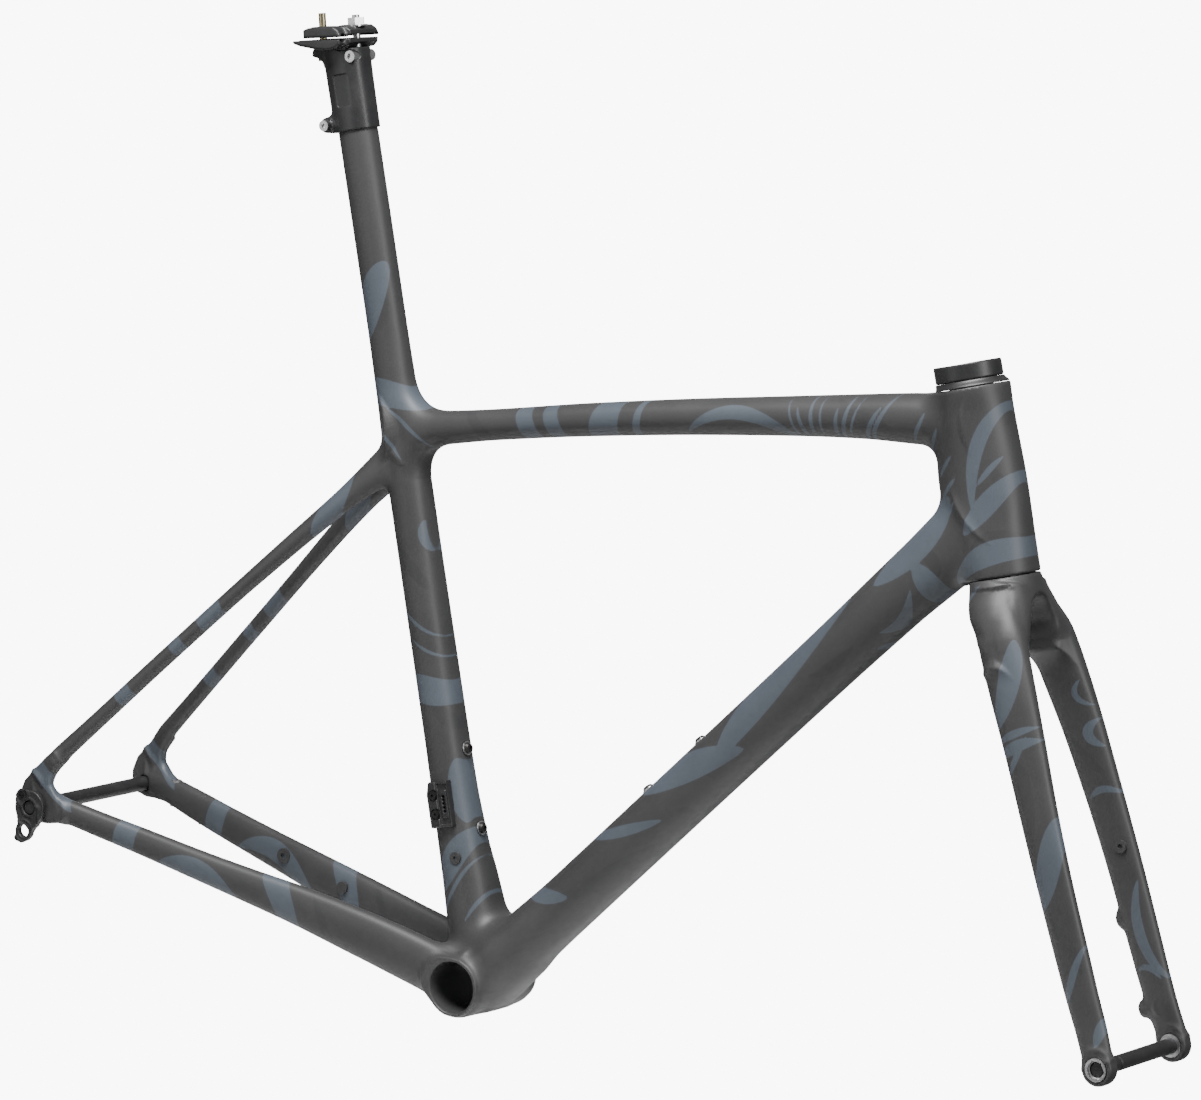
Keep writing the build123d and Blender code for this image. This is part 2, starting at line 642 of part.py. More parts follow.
# ---------------------------------------------------------------- through-axles
with BuildPart() as front_axle:
    shape = [(0, -60.0), (AXLE_RADIUS - 1, -60.0), (AXLE_RADIUS, -59.0), (AXLE_RADIUS, -42.0)]
    shape += [(5.3, -40.5), (5.3, -32.0), (AXLE_RADIUS, -30.5), (AXLE_RADIUS, 62.5)]
    shape += [(8.6, 62.5), (8.6, 64.5), (7.4, 66.5), (0, 66.5)]
    add(turned(Plane(origin=FRONT_AXLE, x_dir=(1, 0, 0), z_dir=(0, 1, 0)), *shape))
    with BuildSketch(across(FRONT_AXLE, 66.5)):
        RegularPolygon(3.4, 6)
    extrude(amount=6, mode=Mode.SUBTRACT)
save(front_axle.part, "front_axle")

rear_head = REAR_SPACING / 2 + DROPOUT_THICK + 2.0
with BuildPart() as rear_axle:
    shape = [(0, -83.5), (AXLE_RADIUS - 1, -83.5), (AXLE_RADIUS, -82.5), (AXLE_RADIUS, rear_head)]
    shape += [(9.4, rear_head), (9.4, rear_head + 2.4), (8.0, rear_head + 4.2), (0, rear_head + 4.2)]
    add(turned(Plane(origin=REAR_AXLE, x_dir=(1, 0, 0), z_dir=(0, 1, 0)), *shape))
    with BuildSketch(across(REAR_AXLE, rear_head + 4.2)):
        RegularPolygon(3.4, 6)
    extrude(amount=6, mode=Mode.SUBTRACT)
save(rear_axle.part, "rear_axle")

with BuildPart() as rear_axle_washer:
    add(rod(REAR_AXLE, Y_AXIS, 11.0, rear_head - 2.0, rear_head - 0.4))
    add(rod(REAR_AXLE, Y_AXIS, axle_hole, 60, 90), mode=Mode.SUBTRACT)
save(rear_axle_washer.part, "rear_axle_washer")

# ---------------------------------------------------------------- fittings on the frame
with BuildPart() as front_derailleur_mount:
    with BuildSketch(seat(125.0)):
        with Locations((0, -17.5)):
            Rectangle(20, 13)
    extrude(amount=37)
    for rib in (0.0, 37.0):
        corner = seat(125.0 + rib, -10.5, 0)
        add(rod(corner.origin, Y_AXIS, 6.5, -30, -20), mode=Mode.SUBTRACT)
    add(seat_skin, mode=Mode.SUBTRACT)
    for slot_along in (139.0, 143.5, 148.0):
        slot = seat(slot_along, 5.0)
        add(rod(slot.origin, Y_AXIS, 2.7, -30, -19.6), mode=Mode.SUBTRACT)
save(front_derailleur_mount.part, "front_derailleur_mount")

MOUNT_SCREWS = [seat(136.0, -3.6), seat(151.0, -3.6)]
with BuildPart() as derailleur_mount_bolts:
    for place in MOUNT_SCREWS:
        add(rod(place.origin, Y_AXIS, 3.2, -25.9, -24.0))
        add(rod(place.origin, Y_AXIS, 1.2, -26.5, -24.8), mode=Mode.SUBTRACT)
save(derailleur_mount_bolts.part, "derailleur_mount_bolts")

with BuildPart() as derailleur_wire_grommet:
    add(rod(WIRE_PORT.origin, -Y_AXIS, 4.8, 14, 21.6))
    add(seat_skin, mode=Mode.SUBTRACT)
    add(rod(WIRE_PORT.origin, -Y_AXIS, 3.2, 15, 21.6))
    add(rod(WIRE_PORT.origin, -Y_AXIS, 1.5, 10, 30), mode=Mode.SUBTRACT)
save(derailleur_wire_grommet.part, "derailleur_wire_grommet")

boss_places = [(place, place.x_dir, 17.8) for place in seat_bosses[1:]]
boss_places += [(seat_bosses[0], seat_bosses[0].x_dir, 20.3)]
boss_places += [(place, -place.x_dir, 22.5) for place in down_bosses]
with BuildPart() as bottle_rivnuts:
    for place, out, surface in boss_places:
        add(rod(place.origin, out, RIVNUT, surface - 11, surface + 0.4))
        add(rod(place.origin, out, 2.5, surface - 12, surface + 1), mode=Mode.SUBTRACT)
save(bottle_rivnuts.part, "bottle_rivnuts")

with BuildPart() as bottle_washers:
    for place, out, surface in boss_places:
        add(rod(place.origin, out, 5.6, surface + 0.4, surface + 1.4))
        add(rod(place.origin, out, 2.5, surface, surface + 2), mode=Mode.SUBTRACT)
save(bottle_washers.part, "bottle_washers")

with BuildPart() as bottle_bolts:
    for place, out, surface in boss_places:
        bolt_place = Plane(origin=place.origin, x_dir=Y_AXIS, z_dir=out)
        base = surface + 1.4
        shape = [(0, surface - 9), (2.5, surface - 9), (2.5, base), (4.6, base), (4.5, base + 1.2)]
        shape += [(3.4, base + 2.4), (1.6, base + 2.8), (0, base + 2.8)]
        add(turned(bolt_place, *shape))
        add(rod(place.origin, out, 1.5, base + 0.8, base + 4), mode=Mode.SUBTRACT)
save(bottle_bolts.part, "bottle_bolts")

UPWARD = Vector(0, 0, 1)
with BuildPart() as brake_mount_inserts:
    for boss, (foot, top) in zip(BRAKE_BOSSES, ((57.6, 79.6), (49.6, 74.0))):
        add(rod(boss, UPWARD, 4.2, foot, top))
        add(rod(boss, UPWARD, 2.6, 40, 100), mode=Mode.SUBTRACT)
save(brake_mount_inserts.part, "brake_mount_inserts")

with BuildPart() as chainstay_hose_grommet:
    add(rod(HOSE_PORT, Y_AXIS, 6.2, 43.0, 48.0))
    add(chain_skin[1], mode=Mode.SUBTRACT)
    add(rod(HOSE_PORT, Y_AXIS, 4.6, 43.0, 49.0))
    add(rod(HOSE_PORT, Y_AXIS, 2.6, 36, 60), mode=Mode.SUBTRACT)
save(chainstay_hose_grommet.part, "chainstay_hose_grommet")

with BuildPart() as chainstay_plug:
    add(rod(PLUG_PORT, Y_AXIS, 4.9, 33.2, 38.0))
    add(chain_skin[1], mode=Mode.SUBTRACT)
    add(rod(PLUG_PORT, Y_AXIS, 4.0, 33.2, 40.0))
save(chainstay_plug.part, "chainstay_plug")

with BuildPart() as fork_hose_grommet:
    add(rod(PORT, Y_AXIS, 5.0, 43.4, 48.0))
    add(blade(1), mode=Mode.SUBTRACT)
    add(rod(PORT, Y_AXIS, 3.6, 43.4, 48.0))
    add(rod(PORT, Y_AXIS, 2.0, 40, 60), mode=Mode.SUBTRACT)
save(fork_hose_grommet.part, "fork_hose_grommet")

# ---------------------------------------------------------------- mast clamp and saddle cradle
MAST_DEPTH = 32.6
MAST_WIDTH = 27.0
RAIL = 3.5
RAIL_SIDE = 22.0
TILT_RADIUS = 10.0
HEAD_FOOT = 680.0
HEAD_TOP_UP = -8.0
FRONT_BOLT = 5.3
REAR_BOLT = -27.3
BARREL = seat(737.5, 13.0)
HEAD_ROWS_OUT = [
    (HEAD_FOOT, 36.0, 30.6, 0.2, 2.4),
    (692, 36.4, 31.0, 0.1, 2.4),
    (720, 36.6, 31.2, 0.1, 2.5),
    (764, 38.4, 31.6, 0.6, 2.7),
]


def clamp_plate(points, side_low, side_high):
    """Solid between two side positions from a (forward, up) outline in the clamp's frame."""
    base = clamp(0, 0, side_low)
    with BuildPart() as plate:
        with BuildSketch(Plane(origin=base.origin, x_dir=base.x_dir, z_dir=(0, -1, 0))):
            with BuildLine():
                Polyline(*points, close=True)
            make_face()
        extrude(amount=-(side_high - side_low))
    return plate.part


nose = [(-42, -8), (-42, -10.5), (-36, -14), (-26, -16.5), (-14, -26), (-8, -26), (-8, -8)]
cut_above = [(-90, HEAD_TOP_UP), (90, HEAD_TOP_UP), (90, 60), (-90, 60)]
LUG = seat(687.0, -20.0)
with BuildPart() as seat_clamp_body:
    add(moulding(straight_stations(seat, HEAD_ROWS_OUT, 9)))
    add(clamp_plate(nose, -9, 9))
    add(rod(LUG.origin, Y_AXIS, 6.2, -13.5, 13.5))
    add(clamp_plate(cut_above, -40, 40), mode=Mode.SUBTRACT)
    with BuildSketch(seat(HEAD_FOOT - 1)):
        with BuildLine():
            bore = oval_points(MAST_DEPTH + 2 * RUNNING, MAST_WIDTH + 2 * RUNNING, 0.0, 2.3)
            Spline(*bore, periodic=True)
        make_face()
    extrude(amount=MAST_TOP + 0.6 - HEAD_FOOT + 1, mode=Mode.SUBTRACT)
    with BuildSketch(seat(HEAD_FOOT - 4)):
        with Locations((-24, 0)):
            Rectangle(24, 1.6)
    extrude(amount=28, mode=Mode.SUBTRACT)
    for side in (-1, 1):
        pocket = seat(712.0, 1.5, side * 22.0)
        with BuildSketch(Plane(origin=pocket.origin, x_dir=pocket.x_dir, z_dir=(0, -side, 0))):
            RectangleRounded(13, 25, 4.0)
        extrude(amount=7.4, mode=Mode.SUBTRACT)
    add(rod(CLAMP_CENTRE, Y_AXIS, TILT_RADIUS + RUNNING, -40, 40), mode=Mode.SUBTRACT)
    add(rod(BARREL.origin, Y_AXIS, 4.6, -30, 30), mode=Mode.SUBTRACT)
    add(rod(clamp(0, FRONT_BOLT).origin, CLAMP_UP, 4.4, -9.8, 0), mode=Mode.SUBTRACT)
    add(rod(clamp(0, REAR_BOLT).origin, CLAMP_UP, 3.0, -30, 0), mode=Mode.SUBTRACT)
    add(rod(clamp(0, REAR_BOLT).origin, CLAMP_UP, 5.2, -24, -13.5), mode=Mode.SUBTRACT)
    add(rod(LUG.origin, Y_AXIS, 2.5, -20, 20), mode=Mode.SUBTRACT)
save(seat_clamp_body.part, "seat_clamp_body")

with BuildPart() as barrel_nut:
    add(rod(BARREL.origin, Y_AXIS, 4.6, -14.6, 14.6))
    add(rod(BARREL.origin, Y_AXIS, 2.2, -15.2, -12.5), mode=Mode.SUBTRACT)
save(barrel_nut.part, "barrel_nut")

with BuildPart() as pinch_bolt:
    add(rod(LUG.origin, Y_AXIS, 2.5, -14.0, 16.5))
    add(rod(LUG.origin, Y_AXIS, 4.3, -17.4, -13.5))
    add(rod(LUG.origin, Y_AXIS, 1.7, -18.0, -15.6), mode=Mode.SUBTRACT)
save(pinch_bolt.part, "pinch_bolt")

with BuildPart() as pinch_nut:
    add(rod(LUG.origin, Y_AXIS, 4.3, 13.5, 16.2))
    add(rod(LUG.origin, Y_AXIS, 2.5, 10, 20), mode=Mode.SUBTRACT)
save(pinch_nut.part, "pinch_nut")

lower_wing = [(-38.5, -0.6), (-38.0, -2.4), (-32, -5), (-15, -8.6), (-4, -9.2), (3, -8.0), (6.5, -4.6)]
lower_wing += [(7.0, -0.6)]
lower_web = [(-33.5, -0.6), (-33.5, -4.4), (11, -4.4), (11, -0.6)]
upper_wing = [(-28, 0.6), (-28, 7.4), (-24, 9.0), (-8, 9.6), (2, 9.2), (6.0, 6.6), (8.0, 2.4), (8.0, 0.6)]
upper_web = [(-33.5, 2.6), (-33.5, 7.4), (-21, 8.6), (10, 8.6), (12, 2.6)]
WING_IN, WING_OUT = 16.9, 27.6
with BuildPart() as lower_cradle:
    add(clamp_plate(lower_web, -WING_IN, WING_IN))
    for low, high in ((-WING_OUT, -WING_IN - 0.8), (WING_IN + 0.8, WING_OUT)):
        add(clamp_plate(lower_wing, low, high))
    for low, high in ((-WING_IN - 0.8, -WING_IN), (WING_IN, WING_IN + 0.8)):
        add(clamp_plate(lower_web, low, high))
    add(rod(CLAMP_CENTRE, Y_AXIS, TILT_RADIUS, -15.5, 15.5))
    add(clamp_plate([(-60, -0.6), (60, -0.6), (60, 30), (-60, 30)], -40, 40), mode=Mode.SUBTRACT)
    for side in (-RAIL_SIDE, RAIL_SIDE):
        add(rod(clamp(0, 0, side).origin, CLAMP_FORE, RAIL, -60, 60), mode=Mode.SUBTRACT)
    add(rod(clamp(0, FRONT_BOLT).origin, CLAMP_UP, 3.0, -20, 20), mode=Mode.SUBTRACT)
    for step in (-1.0, 0.0, 1.0):
        add(rod(clamp(0, REAR_BOLT + step).origin, CLAMP_UP, 3.7, -20, 20), mode=Mode.SUBTRACT)
save(lower_cradle.part, "lower_cradle")

with BuildPart() as upper_clamp:
    add(clamp_plate(upper_web, -WING_IN - 0.8, WING_IN + 0.8))
    for low, high in ((-WING_OUT, -WING_IN - 0.8), (WING_IN + 0.8, WING_OUT)):
        add(clamp_plate(upper_wing, low, high))
    for side in (-RAIL_SIDE, RAIL_SIDE):
        add(rod(clamp(0, 0, side).origin, CLAMP_FORE, RAIL, -60, 60), mode=Mode.SUBTRACT)
    add(rod(clamp(0, FRONT_BOLT).origin, CLAMP_UP, 3.0, -20, 20), mode=Mode.SUBTRACT)
    for step in (-1.6, 0.0, 1.6):
        add(rod(clamp(0, REAR_BOLT + step).origin, CLAMP_UP, 3.7, -20, 20), mode=Mode.SUBTRACT)
save(upper_clamp.part, "upper_clamp")

with BuildPart() as front_clamp_bolt:
    add(rod(clamp(0, FRONT_BOLT).origin, CLAMP_UP, 3.0, -8.6, 17.6))
save(front_clamp_bolt.part, "front_clamp_bolt")

with BuildPart() as front_clamp_washer:
    add(rod(clamp(0, FRONT_BOLT).origin, CLAMP_UP, 7.2, 8.6, 9.8))
    add(rod(clamp(0, FRONT_BOLT).origin, CLAMP_UP, 3.0, 5, 20), mode=Mode.SUBTRACT)
save(front_clamp_washer.part, "front_clamp_washer")

with BuildPart() as front_clamp_nut:
    nut_base = clamp(9.8, FRONT_BOLT)
    with BuildSketch(nut_base):
        RegularPolygon(7.2, 6)
        Circle(3.0, mode=Mode.SUBTRACT)
    extrude(amount=5.6)
save(front_clamp_nut.part, "front_clamp_nut")

with BuildPart() as rear_clamp_bolt:
    add(rod(clamp(0, REAR_BOLT).origin, CLAMP_UP, 3.0, -14, 20.0))
    add(rod(clamp(0, REAR_BOLT).origin, CLAMP_UP, 4.8, -18.0, -13.5))
    add(rod(clamp(0, REAR_BOLT).origin, CLAMP_UP, 2.0, -19, -15.5), mode=Mode.SUBTRACT)
save(rear_clamp_bolt.part, "rear_clamp_bolt")
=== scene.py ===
"""Visual model of a carbon road bicycle frame and fork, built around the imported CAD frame.

The carbon mouldings are distance fields: each tube is a superellipse swept along its line, the tubes
are joined with fillets, and the field is turned into one smooth skin. Lengths in the tables are in
millimetres in the row frame; the meshes are in metres.
"""

import json
from math import cos, pi, radians, sin, sqrt

import bpy
import numpy as np
import openvdb
from mathutils import Matrix, Vector


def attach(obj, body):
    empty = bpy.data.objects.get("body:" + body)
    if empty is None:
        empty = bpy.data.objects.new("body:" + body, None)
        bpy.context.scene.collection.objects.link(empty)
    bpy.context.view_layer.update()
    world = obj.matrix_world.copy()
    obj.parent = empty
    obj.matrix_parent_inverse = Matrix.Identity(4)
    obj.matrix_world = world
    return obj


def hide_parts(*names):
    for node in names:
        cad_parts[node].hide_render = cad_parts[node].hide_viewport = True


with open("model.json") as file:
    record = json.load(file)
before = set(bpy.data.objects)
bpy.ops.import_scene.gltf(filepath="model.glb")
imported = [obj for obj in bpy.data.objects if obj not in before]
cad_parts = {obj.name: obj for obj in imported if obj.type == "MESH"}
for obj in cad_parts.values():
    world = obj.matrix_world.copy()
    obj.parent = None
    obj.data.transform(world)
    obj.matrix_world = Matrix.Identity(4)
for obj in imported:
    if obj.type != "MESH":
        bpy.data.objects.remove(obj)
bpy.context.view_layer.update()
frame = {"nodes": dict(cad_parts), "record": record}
FAR = 40.0
MM = 0.001


# ---------------------------------------------------------------- places in the row frame
def vec(*numbers):
    """A place or a direction in the row frame."""
    return np.array(numbers, float)


SEAT_ANGLE = radians(73.6)
HEAD_ANGLE = radians(72.0)
DOWN_ANGLE = radians(47.75)
CLAMP_ANGLE = radians(10.0)
WHEELBASE = 990.0
CHAINSTAY = 405.0
AXLE_HEIGHT = 70.0
FORK = 372.0
FORK_RAKE = 45.0
FORWARD = vec(1, 0, 0)
Y = vec(0, 1, 0)
UP = vec(0, 0, 1)
CENTRE = vec(0, 0, 0)
REAR = vec(-sqrt(CHAINSTAY**2 - AXLE_HEIGHT**2), 0, AXLE_HEIGHT)
FRONT = REAR + vec(WHEELBASE, 0, 0)
SEAT_UP = vec(-cos(SEAT_ANGLE), 0, sin(SEAT_ANGLE))
SEAT_FORE = vec(sin(SEAT_ANGLE), 0, cos(SEAT_ANGLE))
HEAD_UP = vec(-cos(HEAD_ANGLE), 0, sin(HEAD_ANGLE))
HEAD_FORE = vec(sin(HEAD_ANGLE), 0, cos(HEAD_ANGLE))
DOWN_UP = vec(cos(DOWN_ANGLE), 0, sin(DOWN_ANGLE))
DOWN_FORE = vec(sin(DOWN_ANGLE), 0, -cos(DOWN_ANGLE))
CROWN = FRONT - HEAD_FORE * FORK_RAKE + HEAD_UP * sqrt(FORK**2 - FORK_RAKE**2)
DOWN_BASE = vec(0, 0, -4.4)
CLAMP = SEAT_UP * 753.0 + SEAT_FORE * 7.0
CLAMP_FORE = vec(cos(CLAMP_ANGLE), 0, sin(CLAMP_ANGLE))
CLAMP_UP = vec(-sin(CLAMP_ANGLE), 0, cos(CLAMP_ANGLE))


# ---------------------------------------------------------------- distance fields
def smin(a, b, k):
    """Union with a fillet that reaches k millimetres."""
    h = np.maximum(k - np.abs(a - b), 0.0) / k
    return np.minimum(a, b) - h * h * (k * 0.25)


def smax(a, b, k):
    """Overlap with its edge rounded over k millimetres."""
    return -smin(-a, -b, k)


def dense(rows, steps=161):
    """Rows at even steps of their first number, smooth and without overshoot."""
    rows = np.array(rows, float)
    x = rows[:, 0]
    at = np.linspace(x[0], x[-1], steps)
    out = [at]
    h = np.diff(x)
    i = np.clip(np.searchsorted(x, at, side="right") - 1, 0, len(h) - 1)
    t = (at - x[i]) / h[i]
    for column in rows.T[1:]:
        slope = np.diff(column) / h
        bend = np.concatenate([slope[:1], np.zeros(len(slope) - 1), slope[-1:]])
        same = slope[1:] * slope[:-1] > 0
        bend[1:-1][same] = 2 * slope[1:][same] * slope[:-1][same] / (slope[1:] + slope[:-1])[same]
        out.append(
            column[i] * (2 * t**3 - 3 * t**2 + 1)
            + bend[i] * h[i] * (t**3 - 2 * t**2 + t)
            + column[i + 1] * (3 * t**2 - 2 * t**3)
            + bend[i + 1] * h[i] * (t**3 - t**2)
        )
    return np.array(out)


class Field:
    """A block of distances in millimetres at even steps."""

    def __init__(self, low, high, step):
        self.low = np.array(low, float)
        self.step = step
        count = np.ceil((np.array(high, float) - self.low) / step).astype(int) + 1
        self.d = np.full(count, FAR, np.float32)

    def window(self, low, high):
        """Slices of the block between two corners, and the coordinates there."""
        first = np.maximum(np.floor((np.array(low) - self.low) / self.step).astype(int), 0)
        last = np.minimum(np.ceil((np.array(high) - self.low) / self.step).astype(int) + 1, self.d.shape)
        axes = [self.low[i] + self.step * np.arange(first[i], last[i]) for i in range(3)]
        at = [
            axes[0][:, None, None].astype(np.float32),
            axes[1][None, :, None].astype(np.float32),
            axes[2][None, None, :].astype(np.float32),
        ]
        return tuple(slice(a, b) for a, b in zip(first, last)), at

    def add(self, shape, low, high, k=0.0, gate=True):
        """Joins a shape, with a fillet of reach k where the two surfaces meet at an angle."""
        where, at = self.window(low, high)
        new = np.broadcast_to(shape(*at), self.d[where].shape).astype(np.float32)
        old = self.d[where]
        if k <= 0:
            self.d[where] = np.minimum(old, new)
            return
        mixed = np.minimum(old, new)
        near = np.argwhere(np.abs(old - new) + np.abs(mixed) * 0.5 < k * 1.05)
        if len(near):
            a, b = near.min(0), near.max(0) + 1
            part = tuple(slice(i, j) for i, j in zip(a, b))
            o, n = old[part], new[part]
            reach = np.full(o.shape, k, np.float32)
            if gate and min(o.shape) > 2:
                go, gn = np.gradient(o), np.gradient(n)
                dot = sum(p * q for p, q in zip(go, gn))
                size = np.sqrt(sum(p * p for p in go) * sum(q * q for q in gn)) + 1e-6
                reach = k * np.clip(1.0 - np.maximum(dot / size, 0) ** 2, 0.04, 1.0)
            mixed[part] = smin(o, n, reach)
        self.d[where] = mixed

    def cut(self, shape, low, high, k=0.0):
        """Takes a shape away, with the new edge rounded over k."""
        where, at = self.window(low, high)
        hole = np.broadcast_to(-shape(*at), self.d[where].shape).astype(np.float32)
        old = self.d[where]
        self.d[where] = smax(old, hole, k) if k > 0 else np.maximum(old, hole)

    def sample(self, points):
        """Distances at points, straight-line between the steps of the block."""
        g = (points - self.low) / self.step
        top = np.array(self.d.shape) - 1.001
        g = np.clip(g, 0, top)
        i = g.astype(int)
        f = g - i
        out = 0.0
        for dx in (0, 1):
            for dy in (0, 1):
                for dz in (0, 1):
                    w = np.abs(1 - dx - f[:, 0]) * np.abs(1 - dy - f[:, 1]) * np.abs(1 - dz - f[:, 2])
                    out = out + w * self.d[i[:, 0] + dx, i[:, 1] + dy, i[:, 2] + dz]
        return out

    def slope(self, points):
        """Outward direction of the field at points."""
        half = self.step * 0.75
        columns = []
        for axis in range(3):
            shift = np.zeros(3)
            shift[axis] = half
            ahead, behind = self.sample(points + shift), self.sample(points - shift)
            columns.append((ahead - behind) / (2 * half))
        return np.stack(columns, 1)

    def mesh(self, name):
        """One object of the zero surface, its points drawn onto it and its normals from the field."""
        band = 3.5 * self.step
        grid = openvdb.FloatGrid(band)
        grid.copyFromArray(np.clip(self.d, -band, band).astype(np.float32))
        points, quads = grid.convertToQuads(isovalue=0.0)
        points = points.astype(float) * self.step + self.low
        for _ in range(3):
            g = self.slope(points)
            size2 = np.maximum((g * g).sum(1), 0.05)
            move = (self.sample(points) / size2)[:, None] * g
            far = np.linalg.norm(move, axis=1, keepdims=True)
            move *= np.minimum(1.0, 0.5 * self.step / np.maximum(far, 1e-9))
            points = points - move
        normals = self.slope(points)
        normals /= np.maximum(np.linalg.norm(normals, axis=1, keepdims=True), 1e-9)
        p = points[quads]
        face = np.cross(p[:, 1] - p[:, 0], p[:, 2] - p[:, 0])
        if (face * normals[quads[:, 0]]).sum() < 0:
            quads = quads[:, ::-1]
        data = bpy.data.meshes.new(name)
        data.vertices.add(len(points))
        data.vertices.foreach_set("co", (points * MM).astype(np.float32).ravel())
        data.loops.add(quads.size)
        data.loops.foreach_set("vertex_index", quads.astype(np.int32).ravel())
        data.polygons.add(len(quads))
        data.polygons.foreach_set("loop_start", np.arange(0, quads.size, 4, dtype=np.int32))
        data.polygons.foreach_set("use_smooth", np.ones(len(quads), bool))
        data.update(calc_edges=True)
        data.validate()
        data.normals_split_custom_set_from_vertices(normals.astype(np.float32))
        piece = bpy.data.objects.new(name, data)
        bpy.context.scene.collection.objects.link(piece)
        return piece


def swept(origin, along, fore, rows):
    """Distance to a superellipse swept along a line. Rows: s, fore, side, half depth, half width, power."""
    side = np.cross(along, fore) * -1.0
    if side[1] < 0:
        side = -side
    table = dense(rows)
    first, last = table[0][0], table[0][-1]

    def shape(x, y, z):
        x, y, z = x - origin[0], y - origin[1], z - origin[2]
        s = x * along[0] + y * along[1] + z * along[2]
        cf, cg, a, b, n = (np.interp(s, table[0], column).astype(np.float32) for column in table[1:])
        p = x * fore[0] + y * fore[1] + z * fore[2] - cf
        q = x * side[0] + y * side[1] + z * side[2] - cg
        ratio = ((np.abs(p) / a) ** n + (np.abs(q) / b) ** n) ** (1.0 / n)
        radius = np.sqrt(p * p + q * q)
        d = radius - radius / np.maximum(ratio, 0.02)
        return np.maximum(d, np.maximum(first - s, s - last))

    return shape


def path(points):
    """swept() from points on a curve: x, side, z, depth, width."""
    points = np.array(points, float)
    start, end = points[0, :3], points[-1, :3]
    along = (end - start) / np.linalg.norm(end - start)
    fore = np.cross(Y, along)
    fore /= np.linalg.norm(fore)
    side = np.cross(along, fore) * -1.0
    if side[1] < 0:
        side = -side
    rows = []
    for row in points:
        r = row[:3] - start
        rows.append((r @ along, r @ fore, r @ side, row[3] / 2, row[4] / 2, 2.3))
    return swept(start, along, fore, rows)


def rod(centre, direction, radius, start, end, k=0.0):
    """Distance to a cylinder along a direction."""

    def shape(x, y, z):
        x, y, z = x - centre[0], y - centre[1], z - centre[2]
        s = x * direction[0] + y * direction[1] + z * direction[2]
        r = np.sqrt(np.maximum(x * x + y * y + z * z - s * s, 0)) - radius
        ends = np.maximum(start - s, s - end)
        return smax(r, ends, k) if k > 0 else np.maximum(r, ends)

    return shape


def outline(u, v, points):
    """Signed distance to a closed polygon in a plane."""
    best = None
    sign = 1.0
    count = len(points)
    for i in range(count):
        ax, ay = points[i]
        bx, by = points[i - 1]
        ex, ey = bx - ax, by - ay
        wx, wy = u - ax, v - ay
        t = np.clip((wx * ex + wy * ey) / (ex * ex + ey * ey), 0, 1)
        d = (wx - ex * t) ** 2 + (wy - ey * t) ** 2
        best = d if best is None else np.minimum(best, d)
        c1, c2, c3 = v >= ay, v < by, ex * wy > ey * wx
        flip = (c1 & c2 & c3) | (~c1 & ~c2 & ~c3)
        sign = np.where(flip, -sign, sign)
    return sign * np.sqrt(best)


def plate(points, origin, u_dir, v_dir, low, high, round_over=0.0, edge=1.0):
    """Distance to a flat piece: an outline in a plane across Y, between two side positions."""

    def shape(x, y, z):
        u = (x - origin[0]) * u_dir[0] + (z - origin[2]) * u_dir[2]
        v = (x - origin[0]) * v_dir[0] + (z - origin[2]) * v_dir[2]
        flat = outline(u, v, points) - round_over
        ends = np.abs(y - (low + high) / 2) - (high - low) / 2
        return smax(flat, ends + 0 * flat, edge)

    return shape


def above(origin, up, level):
    """Distance to everything above a level along an axis in the side view."""

    def shape(x, y, z):
        return level - (x - origin[0]) * up[0] - (z - origin[2]) * up[2]

    return shape


def mirror(rows):
    """The same path rows on the other side of the bike."""
    return [(r[0], -r[1], *r[2:]) for r in rows]


# ---------------------------------------------------------------- frame skin
HEAD_TOP = 144.5
GAP = 0.7
HEAD_ROWS = [
    (-6.0, 1.0, 0, 27.7, 27.0, 2.0),
    (1.0, 1.0, 0, 27.7, 27.0, 2.0),
    (20, -0.8, 0, 30.2, 26.8, 2.0),
    (72, -4.0, 0, 35.2, 25.4, 2.1),
    (125, -0.8, 0, 30.7, 26.0, 2.0),
    (HEAD_TOP, 1.2, 0, 28.7, 27.4, 2.0),
    (HEAD_TOP + 6, 1.2, 0, 28.7, 27.4, 2.0),
]
SEAT_ROWS = [
    (2, 4.0, 0, 23.5, 28.0, 2.3),
    (45, 4.6, 0, 22.6, 25.0, 2.3),
    (80, 3.6, 0, 21.0, 22.0, 2.3),
    (110, 1.8, 0, 19.0, 20.0, 2.3),
    (160, 0.6, 0, 17.2, 18.5, 2.3),
    (200, 0.6, 0, 16.6, 18.3, 2.3),
    (330, 0.6, 0, 16.5, 17.5, 2.3),
    (420, 0.8, 0, 16.9, 16.5, 2.3),
    (470, 1.0, 0, 16.3, 14.8, 2.3),
    (530, 1.0, 0, 16.0, 13.5, 2.3),
    (678, 0.6, 0, 16.0, 13.5, 2.3),
    (682, 0.3, 0, 15.7, 13.1, 2.3),
    (727, 0.3, 0, 15.7, 13.1, 2.3),
]
DOWN_ROWS = [
    (2, -0.6, 0, 24.5, 37.0, 2.6),
    (42, -1.0, 0, 25.0, 35.0, 2.6),
    (68, -0.8, 0, 22.8, 30.5, 2.6),
    (120, 0, 0, 22.3, 25.5, 2.6),
    (300, 0, 0, 22.5, 24.0, 2.6),
    (420, 0, 0, 23.0, 23.5, 2.6),
    (510, 0, 0, 24.6, 23.5, 2.5),
    (560, 0.8, 0, 26.8, 23.0, 2.4),
    (605, 0.8, 0, 29.5, 22.0, 2.3),
]
